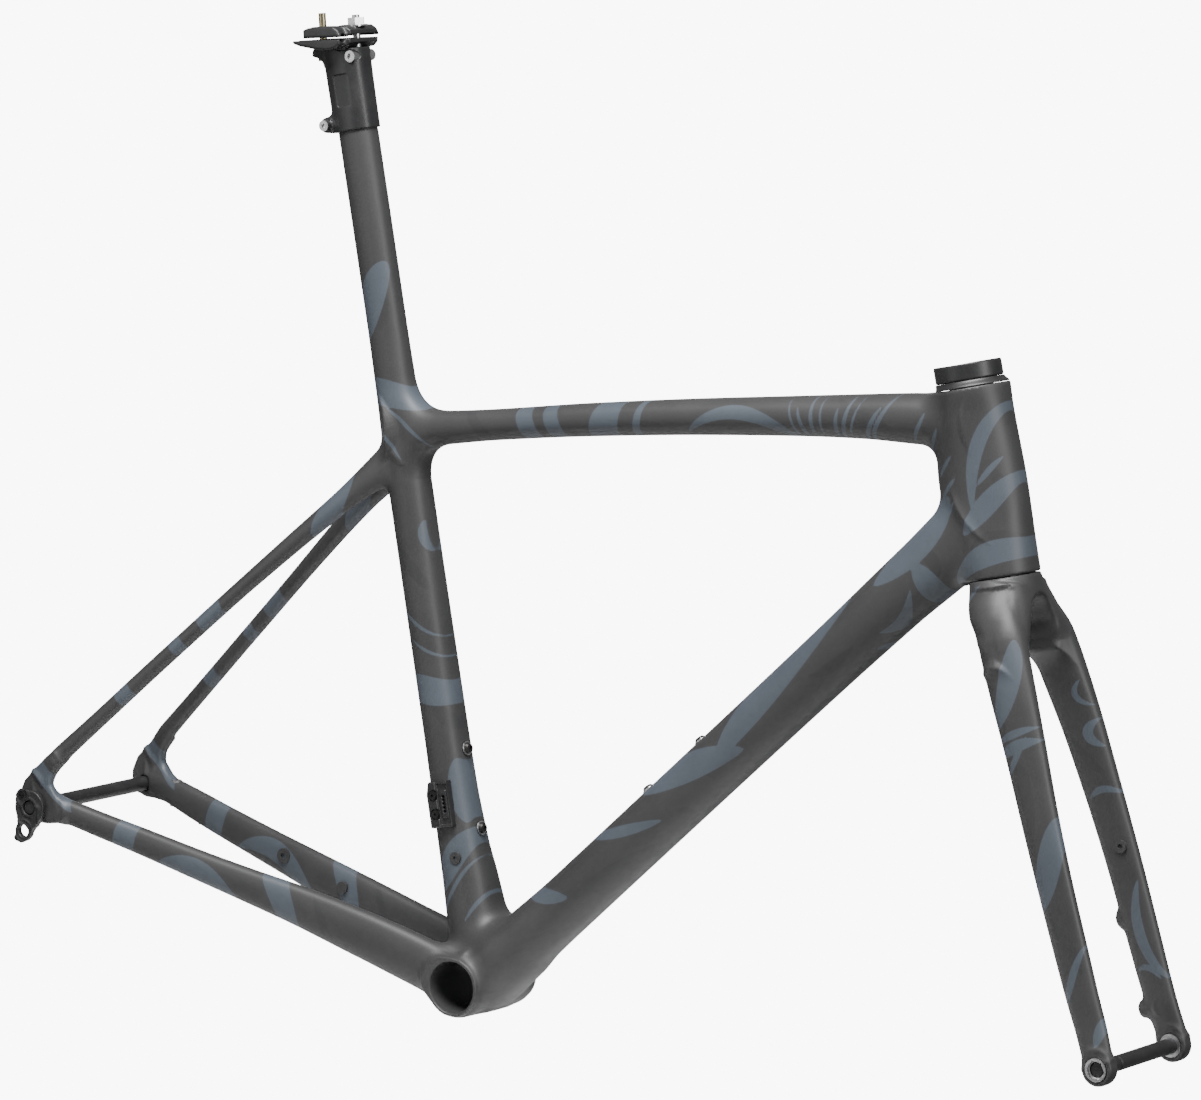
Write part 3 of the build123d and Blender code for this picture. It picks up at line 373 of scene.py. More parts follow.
TOP_POINTS = [
    (-118.0, 0.0, 424.0, 34.0, 29.0),
    (-75.0, 0.0, 433.2, 26.4, 31.0),
    (-32.0, 0.0, 442.9, 24.6, 33.5),
    (60.8, 0.0, 463.1, 26.2, 36.0),
    (151.9, 0.0, 481.0, 28.2, 38.0),
    (241.5, 0.0, 497.1, 30.8, 40.0),
    (300.0, 0.0, 506.8, 34.0, 42.0),
    (345.0, 0.0, 513.0, 38.6, 43.0),
    (392.0, 0.0, 519.0, 42.0, 42.0),
]
CHAINSTAY_POINTS = [
    (-398.0, -74.5, 73.5, 21.0, 12.0),
    (-366.0, -69.5, 70.4, 20.0, 15.0),
    (-340.0, -65.5, 65.6, 20.6, 15.0),
    (-300.0, -60.0, 58.9, 22.2, 15.0),
    (-245.0, -54.0, 49.5, 24.8, 16.0),
    (-200.0, -48.5, 42.0, 28.0, 17.0),
    (-150.0, -43.0, 34.0, 33.0, 18.0),
    (-94.0, -38.0, 23.5, 38.4, 20.0),
    (-50.0, -33.5, 14.0, 41.0, 22.0),
    (-8.0, -30.0, 4.0, 42.0, 24.0),
]
CHAINSTAY_POINTS_LEFT = [
    (-398.0, 74.5, 73.0, 21.0, 12.0),
    (-366.0, 69.5, 68.6, 23.0, 15.0),
    (-340.0, 65.5, 63.6, 25.6, 15.0),
    (-300.0, 60.0, 56.0, 27.6, 15.0),
    (-245.0, 54.0, 45.6, 30.4, 16.0),
    (-200.0, 48.5, 37.4, 33.6, 17.0),
    (-150.0, 43.0, 28.0, 37.0, 18.0),
    (-94.0, 38.0, 17.0, 40.0, 20.0),
    (-50.0, 33.5, 9.6, 41.0, 22.0),
    (-8.0, 30.0, 1.0, 42.0, 24.0),
]
SEATSTAY_POINTS = [
    (-394.0, -75.0, 96.0, 17.0, 10.0),
    (-378.0, -69.5, 120.0, 14.2, 12.0),
    (-350.0, -63.3, 151.6, 13.2, 12.0),
    (-300.0, -52.4, 208.4, 13.0, 12.0),
    (-250.0, -40.8, 264.6, 13.2, 12.4),
    (-205.0, -29.0, 314.3, 14.8, 13.5),
    (-165.0, -18.5, 357.0, 17.6, 16.0),
    (-122.0, -9.0, 401.0, 30.0, 13.0),
]
DROPOUT = [
    (-384, 117),
    (-393, 111),
    (-402, 101.5),
    (-411, 90),
    (-415, 78),
    (-414, 67),
    (-408.5, 60.5),
    (-399, 57.5),
    (-384, 58.5),
    (-372, 61.5),
    (-369, 70),
    (-374, 80),
    (-384, 91),
    (-384, 100),
    (-377, 110),
]
OUTER = 79.5
AXLE_HOLE = 6.4
HANGER_HOLE = 10.2
BB_BORE = 20.6


def bottom_bracket(x, y, z):
    radius = np.sqrt(x * x + z * z)
    side = np.abs(y)
    wall = np.interp(side, [33.5, 37.0, 39.6, 40.2], [25.4, 25.0, 24.0, 23.6]).astype(np.float32)
    return smax(radius - wall, side - 43.25, 1.2)


skin = Field((-421, -84, -33), (466, 84, 712), 1.5)
skin.add(swept(CENTRE, SEAT_UP, SEAT_FORE, SEAT_ROWS), (-232, -34, 0), (34, 34, 712))
skin.add(path(TOP_POINTS), (-140, -32, 390), (420, 32, 560), 28)
skin.add(swept(DOWN_BASE, DOWN_UP, DOWN_FORE, DOWN_ROWS), (-36, -44, -32), (446, 44, 480), 20)
skin.add(swept(CROWN, HEAD_UP, HEAD_FORE, HEAD_ROWS), (340, -36, 380), (466, 36, 560), 16)
skin.add(bottom_bracket, (-36, -46, -33), (36, 46, 36), 10)
for side in (-1, 1):
    rows = CHAINSTAY_POINTS if side < 0 else CHAINSTAY_POINTS_LEFT
    edge = sorted((side * 12, side * 84))
    skin.add(path(rows), (-412, edge[0], -30), (8, edge[1], 100), 14)
    rows = SEATSTAY_POINTS if side < 0 else mirror(SEATSTAY_POINTS)
    edge = sorted((side * -4, side * 84))
    skin.add(path(rows), (-406, edge[0], 76), (-96, edge[1], 430), 10)
    edge = sorted((side * 71.0, side * OUTER))
    hood = plate(DROPOUT, CENTRE, FORWARD, UP, edge[0], edge[1], 0.0, 4.0)
    box_edge = sorted((side * 62, side * 84))
    skin.add(hood, (-421, box_edge[0], 46), (-352, box_edge[1], 128), 9)
    axle_hole = AXLE_HOLE if side > 0 else HANGER_HOLE
    skin.cut(rod(REAR, Y * side, axle_hole, 60, 90), (-416, box_edge[0], 52), (-382, box_edge[1], 88))
skin.cut(rod(CENTRE, Y, BB_BORE, -50, 50), (-24, -50, -24), (24, 50, 24), 0.8)


def beyond_head(x, y, z):
    """Past either end of the head tube; behind it the ends follow the two tubes that meet it."""
    s = (x - CROWN[0]) * HEAD_UP[0] + (z - CROWN[2]) * HEAD_UP[2]
    fore = (x - CROWN[0]) * HEAD_FORE[0] + (z - CROWN[2]) * HEAD_FORE[2]
    low = GAP + np.minimum(fore + 29.0, 0) * 1.3
    high = HEAD_TOP + 0.3 + np.maximum(-fore - 30.5, 0) * 0.14
    return np.minimum(s - low, high - s) + 0 * y


skin.cut(beyond_head, (345, -40, 385), (466, 40, 565), 0.9)
bore = [(CROWN, 23.5, -5, 9.5), (CROWN, 20.4, 8, 60), (CROWN, 19.2, 50, 136.5), (CROWN, 21.0, 135.8, 160)]
for at, radius, start, end in bore:
    skin.cut(rod(at, HEAD_UP, radius, start, end), (345, -40, 385), (466, 40, 565))
frame_skin = skin.mesh("frame_skin")

# ---------------------------------------------------------------- fork skin
CROWN_ROWS = [
    (-54, 8.0, 0, 13.0, 43.0, 2.4),
    (-42, 5.4, 0, 20.5, 45.0, 2.4),
    (-30, 3.4, 0, 25.5, 43.0, 2.4),
    (-20, 2.2, 0, 27.0, 39.0, 2.3),
    (-10, 1.4, 0, 27.4, 32.8, 2.1),
    (0, 1.0, 0, 27.4, 27.6, 2.0),
    (4, 1.0, 0, 27.4, 27.6, 2.0),
]
BLADE_POINTS = [
    (589.3, -56.4, 76.0, 25.0, 12.0),
    (580.9, -54.4, 94.0, 26.0, 13.0),
    (570.6, -53.9, 116.1, 27.0, 13.6),
    (560.1, -53.6, 140.0, 28.0, 14.0),
    (529.9, -52.0, 209.6, 30.0, 15.0),
    (510.6, -48.9, 253.6, 32.0, 16.5),
    (491.6, -44.7, 296.7, 35.0, 18.5),
    (473.0, -39.8, 336.1, 38.0, 22.0),
    (459.4, -35.0, 364.0, 39.0, 24.0),
    (450.0, -29.5, 382.0, 34.0, 20.0),
    (442.0, -24.0, 398.0, 22.0, 10.0),
]
fork = Field((405, -66, 52), (612, 66, 425), 1.25)
fork.add(swept(CROWN, HEAD_UP, HEAD_FORE, CROWN_ROWS), (405, -60, 335), (492, 60, 425))
rearward = vec(-cos(radians(23.3)), 0, -sin(radians(23.3)))
for side in (-1, 1):
    rows = BLADE_POINTS if side < 0 else mirror(BLADE_POINTS)
    edge = sorted((side * 12, side * 66))
    fork.add(path(rows), (425, edge[0], 60), (612, edge[1], 408), 24)
    end = rod(FRONT, Y * side, 13.0, 50.2, 62.0, 2.5)
    fork.add(end, (570, edge[0], 52), (612, edge[1], 92), 7)
    if side > 0:
        for z in (161.0, 97.0):
            seat = vec(591.1 - (z - 70.0) * 0.4307 - 4.0, 54.3, z)
            fork.add(rod(seat, rearward, 6.6, 2, 14.6, 1.2), (530, 40, 70), (600, 66, 185), 6)
            fork.cut(rod(seat, rearward, 4.5, 1, 20), (530, 40, 70), (600, 66, 185))
    fork.cut(rod(FRONT, Y * side, 9.1, 40, 70), (575, edge[0], 52), (610, edge[1], 88))

ARCH = [(-70, 19.5), (-52, 19.5), (-40, 17.5), (-31, 13.0), (-26, 7.0)]
for height, half in ARCH:
    centre = CROWN + HEAD_UP * height
    for side in (-1, 1):
        arch_rod = rod(centre + Y * side * max(half - 12, 0), HEAD_FORE, min(half, 12), -70, 70)
        fork.cut(arch_rod, (395, -26, 320), (500, 26, 405), 5)


def over_crown(x, y, z):
    """Above the flat top of the crown, or above the slope that its shoulders turn under the frame on."""
    s = (x - CROWN[0]) * HEAD_UP[0] + (z - CROWN[2]) * HEAD_UP[2]
    fore = (x - CROWN[0]) * HEAD_FORE[0] + (z - CROWN[2]) * HEAD_FORE[2]
    slope = -0.2 - 1.3 * np.maximum(np.sqrt(fore * fore + y * y) - 28.4, 0)
    return np.minimum(0.3 - s, (slope + 0.5 - s) * 0.61)


fork.cut(over_crown, (405, -40, 380), (480, 40, 425), 1.4)
fork.cut(rod(CROWN, HEAD_UP, 20.0, -2.0, 10), (405, -40, 380), (480, 40, 425))
fork_skin = fork.mesh("fork_skin")


# ---------------------------------------------------------------- small alloy pieces
def oval(origin, along, fore, rows, k):
    """Distance to a piece with an elliptical section whose ends are rounded over k."""
    first, last = rows[0], rows[-1]
    body = swept(origin, along, fore, [(first[0] - 3, *first[1:]), *rows, (last[0] + 3, *last[1:])])
    over = above(origin, along, last[0])
    under = above(origin, -along, -first[0])

    def shape(x, y, z):
        ends = -np.minimum(over(x, y, z), under(x, y, z))
        return smax(body(x, y, z), ends, k)

    return shape


def clamp_plate(points, low, high, round_over=0.8, edge=1.4):
    """plate() in the clamp's own directions, counted from the tilt axis."""
    return plate(points, CLAMP, CLAMP_FORE, CLAMP_UP, low, high, round_over, edge)


def seat_plate(points, low, high, round_over=0.0, edge=1.0, origin=CENTRE):
    """plate() in the seat tube's directions: forward, then along the tube."""
    return plate(points, origin, SEAT_FORE, SEAT_UP, low, high, round_over, edge)


def side_plate(points, low, high, round_over, edge):
    """plate() in the row frame's forward and up."""
    return plate(points, CENTRE, FORWARD, UP, low, high, round_over, edge)


def box(left, bottom, right, top):
    """Outline of a rectangle."""
    return [(left, bottom), (right, bottom), (right, top), (left, top)]


FINE = 0.45

# saddle clamp body
CLAMP_ROWS = [
    (674, 0.2, 0, 18.0, 15.3, 2.4),
    (692, 0.1, 0, 18.2, 15.5, 2.4),
    (720, 0.1, 0, 18.3, 15.6, 2.5),
    (766, 0.6, 0, 19.2, 15.8, 2.7),
]
CLAMP_FOOT = 680.0
CLAMP_TOP = -8.0
MAST_HOLE = [(660, 0, 0, 16.36, 13.56, 2.3), (728.6, 0, 0, 16.36, 13.56, 2.3)]
NOSE = [(-40, -8.8), (-39, -11), (-35, -13.4), (-27, -15.6), (-19, -21), (-14, -30), (-8, -30), (-6, -8)]
LUG = SEAT_UP * 687.0 - SEAT_FORE * 20.0
BARREL = SEAT_UP * 737.5 + SEAT_FORE * 13.0
FRONT_BOLT = CLAMP + CLAMP_FORE * 5.3
REAR_BOLT = CLAMP - CLAMP_FORE * 27.3

body = Field((-236, -18, 640), (-150, 18, 742), FINE)
whole = (-236, -18, 640), (-150, 18, 742)
body.add(swept(CENTRE, SEAT_UP, SEAT_FORE, CLAMP_ROWS), *whole)
body.add(clamp_plate(NOSE, -8.6, 8.6, 0.6, 3.0), *whole, 9)
body.add(rod(LUG, Y, 6.1, -13.4, 13.4, 1.0), *whole, 7)
body.cut(above(CLAMP, CLAMP_UP, CLAMP_TOP), *whole, 0.8)
body.cut(above(CENTRE, -SEAT_UP, -CLAMP_FOOT), *whole, 1.0)
body.cut(swept(CENTRE, SEAT_UP, SEAT_FORE, MAST_HOLE), *whole)
body.cut(seat_plate(box(-40, 676, -12, 704), -0.8, 0.8), *whole, 0.3)
for side in (-1, 1):
    edge = sorted((side * 14.7, side * 22))
    body.cut(seat_plate(box(-3.4, 701.2, 6.4, 722.8), *edge, 1.9, 0.3), *whole, 0.5)
body.cut(rod(CLAMP, Y, 10.1, -40, 40), *whole, 0.5)
body.cut(rod(BARREL, Y, 4.65, -30, 30), *whole, 0.5)
body.cut(rod(FRONT_BOLT, CLAMP_UP, 4.4, -9.8, 0), *whole)
body.cut(rod(REAR_BOLT, CLAMP_UP, 5.2, -24, -13.4), *whole, 0.3)
body.cut(rod(REAR_BOLT, CLAMP_UP, 3.1, -20, 0), *whole)
body.cut(rod(LUG, Y, 2.6, -20, 20), *whole)
clamp_skin = body.mesh("seat_clamp_skin")

# cradle under the saddle rails and clamp over them
RAIL_SIDE = 22.0
RAIL_GROOVE = 3.5
LOWER_WING = [(-38, -1.4), (-37.2, -2.6), (-31.5, -4.6), (-15, -7.8), (-4, -8.4), (3, -7.2), (6, -4.4)]
LOWER_WING.append((6.4, -1.4))
UPPER_WING = [(-27.2, 1.4), (-27.2, 6.8), (-23.4, 8.2), (-8, 8.8), (1.6, 8.4), (5.4, 6.0), (7.2, 2.6)]
UPPER_WING.append((7.2, 1.4))
LOWER_WEB = [(-32.6, -1.4), (-32.6, -3.2), (-20, -5.7), (-6, -6.7), (-1, -6.9), (10.2, -3.4), (10.2, -1.4)]
UPPER_WEB = [(-32.6, 3.4), (-32.6, 6.6), (-21, 7.8), (8.4, 7.8), (11.0, 5.6), (11.0, 3.4)]


def rail_clamp(name, wing, web, facing):
    """One half of the rail clamp: a web and two wings, flat on the side that faces the other half."""
    half = Field((-262, -30, 708), (-188, 30, 748), FINE)
    whole = (-262, -30, 708), (-188, 30, 748)
    half.add(clamp_plate(web, -17.5, 17.5), *whole)
    for low, high in ((-27.4, -16.4), (16.4, 27.4)):
        half.add(clamp_plate(wing, low, high, 0.8, 2.6), *whole, 5)
    if facing > 0:
        half.add(rod(CLAMP, Y, 10.0, -15.4, 15.4, 0.5), *whole, 1.5)
    half.cut(above(CLAMP, facing * CLAMP_UP, -0.6), *whole, 0.3)
    for side in (-RAIL_SIDE, RAIL_SIDE):
        half.cut(rod(CLAMP + Y * side, CLAMP_FORE, RAIL_GROOVE, -60, 60), *whole, 0.3)
    half.cut(rod(FRONT_BOLT, CLAMP_UP, 3.05, -20, 20), *whole)
    for step in (-1.4, 0.0, 1.4):
        half.cut(rod(REAR_BOLT + CLAMP_FORE * step, CLAMP_UP, 3.7, -20, 20), *whole)
    return half.mesh(name)


cradle_skin = rail_clamp("lower_cradle_skin", LOWER_WING, LOWER_WEB, 1)
upper_skin = rail_clamp("upper_clamp_skin", UPPER_WING, UPPER_WEB, -1)

# derailleur hanger
HANGER_DISC = 14.4
HANGER_FACES = -84.4, -79.9
HANGER_TAIL = [
    (-408.5, 68),
    (-406.6, 61),
    (-409.8, 52),
    (-408.9, 46.5),
    (-411.8, 42.8),
    (-410.2, 40.9),
    (-404.5, 39.8),
    (-399.0, 43.0),
    (-395.4, 50),
    (-390.2, 58.3),
    (-391.5, 70),
]
EYE = vec(-402.8, 0, 50.0)
HANGER_SCREW = vec(-407.6, 0, 79.0)
hanger = Field((-418, -87, 36), (-382, -69, 87), FINE)
whole = (-418, -87, 36), (-382, -69, 87)
hanger.add(rod(REAR, Y, HANGER_DISC, *HANGER_FACES, 0.8), *whole)
hanger.add(rod(HANGER_SCREW, Y, 5.2, *HANGER_FACES, 0.8), *whole, 5)
hanger.add(side_plate(HANGER_TAIL, *HANGER_FACES, 0.5, 0.9), *whole, 6)
hanger.add(rod(EYE, Y, 8.1, -84.5, -79.6, 0.8), *whole, 3)
hanger.add(rod(REAR, Y, 8.4, -84.9, -80, 0.5), *whole, 0.8)
hanger.add(rod(REAR, Y, 9.4, -82, -71), *whole)
hanger.cut(rod(REAR, Y, 6.05, -95, -60), *whole, 0.5)
hanger.cut(rod(EYE, Y, 5.0, -95, -60), *whole, 0.7)
hanger.cut(rod(HANGER_SCREW, Y, 1.55, -95, -60), *whole)
hanger_skin = hanger.mesh("derailleur_hanger_skin")

# headset ring and cover
STEERER_HOLE = 14.3
FLARE = [
    (145.0, 0.9, 0, 28.6, 27.4, 2.0),
    (145.6, 0.9, 0, 28.4, 27.2, 2.0),
    (150.0, -0.6, 0, 27.0, 24.1, 2.0),
]
COVER = [(150.1, -0.6, 0, 26.6, 23.7, 2.0), (163.0, -0.6, 0, 26.6, 23.7, 2.0)]
flare = Field((355, -31, 518), (430, 31, 572), FINE)
whole = (355, -31, 518), (430, 31, 572)
flare.add(oval(CROWN, HEAD_UP, HEAD_FORE, FLARE, 0.4), *whole)
flare.cut(rod(CROWN, HEAD_UP, STEERER_HOLE, 140, 155), *whole)
flare_skin = flare.mesh("headset_flare_skin")
cover = Field((350, -30, 522), (428, 30, 585), FINE)
whole = (350, -30, 522), (428, 30, 585)
cover.add(oval(CROWN, HEAD_UP, HEAD_FORE, COVER, 1.6), *whole)
cover.cut(rod(CROWN, HEAD_UP, 22.6, 162.4, 170), *whole, 0.6)
cover.cut(rod(CROWN, HEAD_UP, STEERER_HOLE, 149, 158), *whole)
cover_skin = cover.mesh("headset_cover_skin")

# front derailleur mount: a block with a raised rear half, a sunk front half and a slotted rib
MOUNT = SEAT_UP * 143.5
mount = Field((-52, -27, 118), (-20, -12, 162), FINE)
whole = (-52, -27, 118), (-20, -12, 162)
mount.add(seat_plate(box(-9.4, -17.9, 9.4, 17.9), -24.0, -13.0, 0.5, 0.8, MOUNT), *whole)
mount.add(seat_plate(box(-9.4, -17.4, -1.4, 17.4), -24.9, -22.0, 0.4, 0.5, MOUNT), *whole, 0.6)
mount.cut(seat_plate(box(0.6, -16, 9.0, 16), -27, -22.6, 0.4, 0.4, MOUNT), *whole, 0.4)
mount.add(seat_plate(box(2.8, -10, 7.4, 10), -23.8, -21, 0.9, 0.5, MOUNT), *whole, 0.4)
for step in (-6, -3, 0, 3, 6):
    mount.cut(rod(MOUNT + SEAT_FORE * 5.1 + SEAT_UP * step, Y, 1.5, -30, -21), *whole)
for step in (-7.5, 7.5):
    mount.cut(rod(MOUNT - SEAT_FORE * 3.6 + SEAT_UP * step, Y, 4.4, -30, -23.6), *whole, 0.4)
mount.cut(swept(CENTRE, SEAT_UP, SEAT_FORE, SEAT_ROWS), *whole)
mount_skin = mount.mesh("derailleur_mount_skin")


# ---------------------------------------------------------------- shader building
def nodes_of(name):
    """A new material with its node tree and shader."""
    mat = bpy.data.materials.new(name)
    mat.use_nodes = True
    tree = mat.node_tree
    shader = tree.nodes["Principled BSDF"]
    return mat, tree, shader


def node(tree, kind, **settings):
    """A new node with its sockets or properties set by name."""
    made = tree.nodes.new(kind)
    for key, value in settings.items():
        if key in made.inputs:
            made.inputs[key].default_value = value
        else:
            setattr(made, key, value)
    return made


def noise(tree, scale, detail=4.0, rough=0.55):
    """Noise fixed to the object, from about 0.2 to 0.8."""
    coords = node(tree, "ShaderNodeTexCoord")
    made = node(tree, "ShaderNodeTexNoise", Scale=scale, Detail=detail, Roughness=rough)
    tree.links.new(coords.outputs["Object"], made.inputs["Vector"])
    return made.outputs["Fac"]


def ramp(tree, value, low, high, to_low=0.0, to_high=1.0):
    """A value carried from one range to another and held inside it."""
    made = tree.nodes.new("ShaderNodeMapRange")
    made.clamp = True
    for i, number in zip((1, 2, 3, 4), (low, high, to_low, to_high)):
        made.inputs[i].default_value = number
    tree.links.new(value, made.inputs[0])
    return made.outputs[0]


def mix(tree, factor, a, b):
    """Colour between a and b."""
    made = tree.nodes.new("ShaderNodeMix")
    made.data_type = "RGBA"
    for socket, value in ((made.inputs[0], factor), (made.inputs[6], a), (made.inputs[7], b)):
        if isinstance(value, (int, float)):
            socket.default_value = value
        elif isinstance(value, tuple):
            socket.default_value = (*value, 1.0)
        else:
            tree.links.new(value, socket)
    return made.outputs[2]


def maths(tree, kind, a, b):
    """Sum or product of two values or sockets."""
    made = tree.nodes.new("ShaderNodeMath")
    made.operation = kind
    for socket, value in zip(made.inputs, (a, b)):
        if isinstance(value, (int, float)):
            socket.default_value = value
        else:
            tree.links.new(value, socket)
    return made.outputs[0]


def bump(tree, shader, height, strength, distance):
    """Fine relief on a shader, its distance in metres."""
    made = node(tree, "ShaderNodeBump", Strength=strength, Distance=distance)
    tree.links.new(height, made.inputs["Height"])
    tree.links.new(made.outputs["Normal"], shader.inputs["Normal"])


def finish(name, dark, light, rough, metallic=0.0, scale=60.0, grain=900.0, relief=0.00004, specular=0.5):
    """A surface with cloudy colour, uneven gloss and a fine grain."""
    mat, tree, shader = nodes_of(name)
    cloud = noise(tree, scale)
    fine = noise(tree, grain, 2.0)
    both = maths(tree, "ADD", maths(tree, "MULTIPLY", cloud, 0.65), maths(tree, "MULTIPLY", fine, 0.35))
    tree.links.new(mix(tree, ramp(tree, both, 0.35, 0.65), dark, light), shader.inputs["Base Color"])
    tree.links.new(ramp(tree, both, 0.3, 0.7, rough[0], rough[1]), shader.inputs["Roughness"])
    shader.inputs["Metallic"].default_value = metallic
    shader.inputs["Specular IOR Level"].default_value = specular
    bump(tree, shader, fine, 0.5, relief)
    return mat


def carbon_finish():
    """Matte lacquered carbon: charcoal with slate bands and a fainter set of tone-on-tone bands."""
    mat, tree, shader = nodes_of("carbon_lacquer")
    ink = node(tree, "ShaderNodeAttribute", attribute_name="band").outputs["Fac"]
    faint = node(tree, "ShaderNodeAttribute", attribute_name="faint").outputs["Fac"]
    cloud = noise(tree, 14.0, 5.0)
    streak = noise(tree, 160.0, 3.0, 0.6)
    fine = noise(tree, 1600.0, 2.0)
    base = mix(tree, ramp(tree, cloud, 0.3, 0.7), (0.0200, 0.0200, 0.0208), (0.0275, 0.0273, 0.0278))
    base = mix(tree, ramp(tree, faint, -0.25, 0.25, 0.55, 0.0), base, (0.0175, 0.0178, 0.0190))
    slate = mix(tree, ramp(tree, cloud, 0.3, 0.7), (0.040, 0.049, 0.061), (0.050, 0.061, 0.075))
    slate = mix(tree, ramp(tree, streak, 0.55, 0.75, 0.0, 0.35), slate, (0.036, 0.043, 0.053))
    colour = mix(tree, ramp(tree, ink, -0.22, 0.22, 1.0, 0.0), base, slate)
    colour = mix(tree, ramp(tree, fine, 0.35, 0.75, 0.0, 0.10), colour, (0.11, 0.11, 0.11))
    tree.links.new(colour, shader.inputs["Base Color"])
    wide = ramp(tree, cloud, 0.3, 0.7, 0.46, 0.54)
    gloss = maths(tree, "ADD", wide, ramp(tree, fine, 0.3, 0.7, -0.02, 0.03))
    tree.links.new(gloss, shader.inputs["Roughness"])
    shader.inputs["Specular IOR Level"].default_value = 0.42
    bump(tree, shader, fine, 0.35, 0.00003)
    return mat


# ---------------------------------------------------------------- bands on the lacquer
TOP_START, TOP_END = vec(-118, 0, 424), vec(392, 0, 519)
TOP_ALONG = (TOP_END - TOP_START) / np.linalg.norm(TOP_END - TOP_START)
CHAIN_START, CHAIN_END = vec(-398, 0, 73.5), vec(-8, 0, 4)
CHAIN_ALONG = (CHAIN_END - CHAIN_START) / np.linalg.norm(CHAIN_END - CHAIN_START)
STAY_START, STAY_END = vec(-394, 0, 96), vec(-122, 0, 400)
STAY_ALONG = (STAY_END - STAY_START) / np.linalg.norm(STAY_END - STAY_START)
LEG_ALONG = vec(-0.4084, 0, 0.9128)
TUBES = {
    "seat": (vec(0, 0, 0), SEAT_UP),
    "head": (CROWN, HEAD_UP),
    "down": (DOWN_BASE, DOWN_UP),
    "top": (TOP_START, TOP_ALONG),
    "chain": (CHAIN_START, CHAIN_ALONG),
    "stay": (STAY_START, STAY_ALONG),
    "leg": (FRONT, LEG_ALONG),
}


def band_distance(points, strokes):
    """Distance in the side view to tapering strokes.

    A stroke is its tube, then three (along, across) pairs for its start, bend and end, its half width,
    and a side: -1 for the right of the bike only, 1 for the left only and 0 for both.
    """
    best = np.full(len(points), FAR)
    for tube, *pairs, width, side in strokes:
        origin, along = TUBES[tube]
        across = np.cross(Y, along)
        corners = [origin + along * s + across * f for s, f in zip(pairs[::2], pairs[1::2])]
        (x0, z0), (x1, z1), (x2, z2) = (corner[[0, 2]] for corner in corners)
        reach = width + 8.0
        u, v = points[:, 0], points[:, 2]
        near = (u > min(x0, x1, x2) - reach) & (u < max(x0, x1, x2) + reach)
        near &= (v > min(z0, z1, z2) - reach) & (v < max(z0, z1, z2) + reach)
        if side:
            near &= points[:, 1] * side > 0
        if not near.any():
            continue
        pu, pv = u[near], v[near]
        d = np.full(len(pu), FAR)
        count = 24
        for i in range(count):
            ends = []
            for t in (i / count, (i + 1) / count):
                a, b, c = (1 - t) ** 2, 2 * t * (1 - t), t * t
                swell = width * max(sin(pi * t), 0.0) ** 0.7
                ends.append((a * x0 + b * x1 + c * x2, a * z0 + b * z1 + c * z2, swell))
            (ax, az, aw), (bx, bz, bw) = ends
            ex, ez = bx - ax, bz - az
            t = np.clip(((pu - ax) * ex + (pv - az) * ez) / (ex * ex + ez * ez + 1e-9), 0, 1)
            d = np.minimum(d, np.hypot(pu - ax - ex * t, pv - az - ez * t) - (aw + (bw - aw) * t))
        best[near] = np.minimum(best[near], d)
    return best


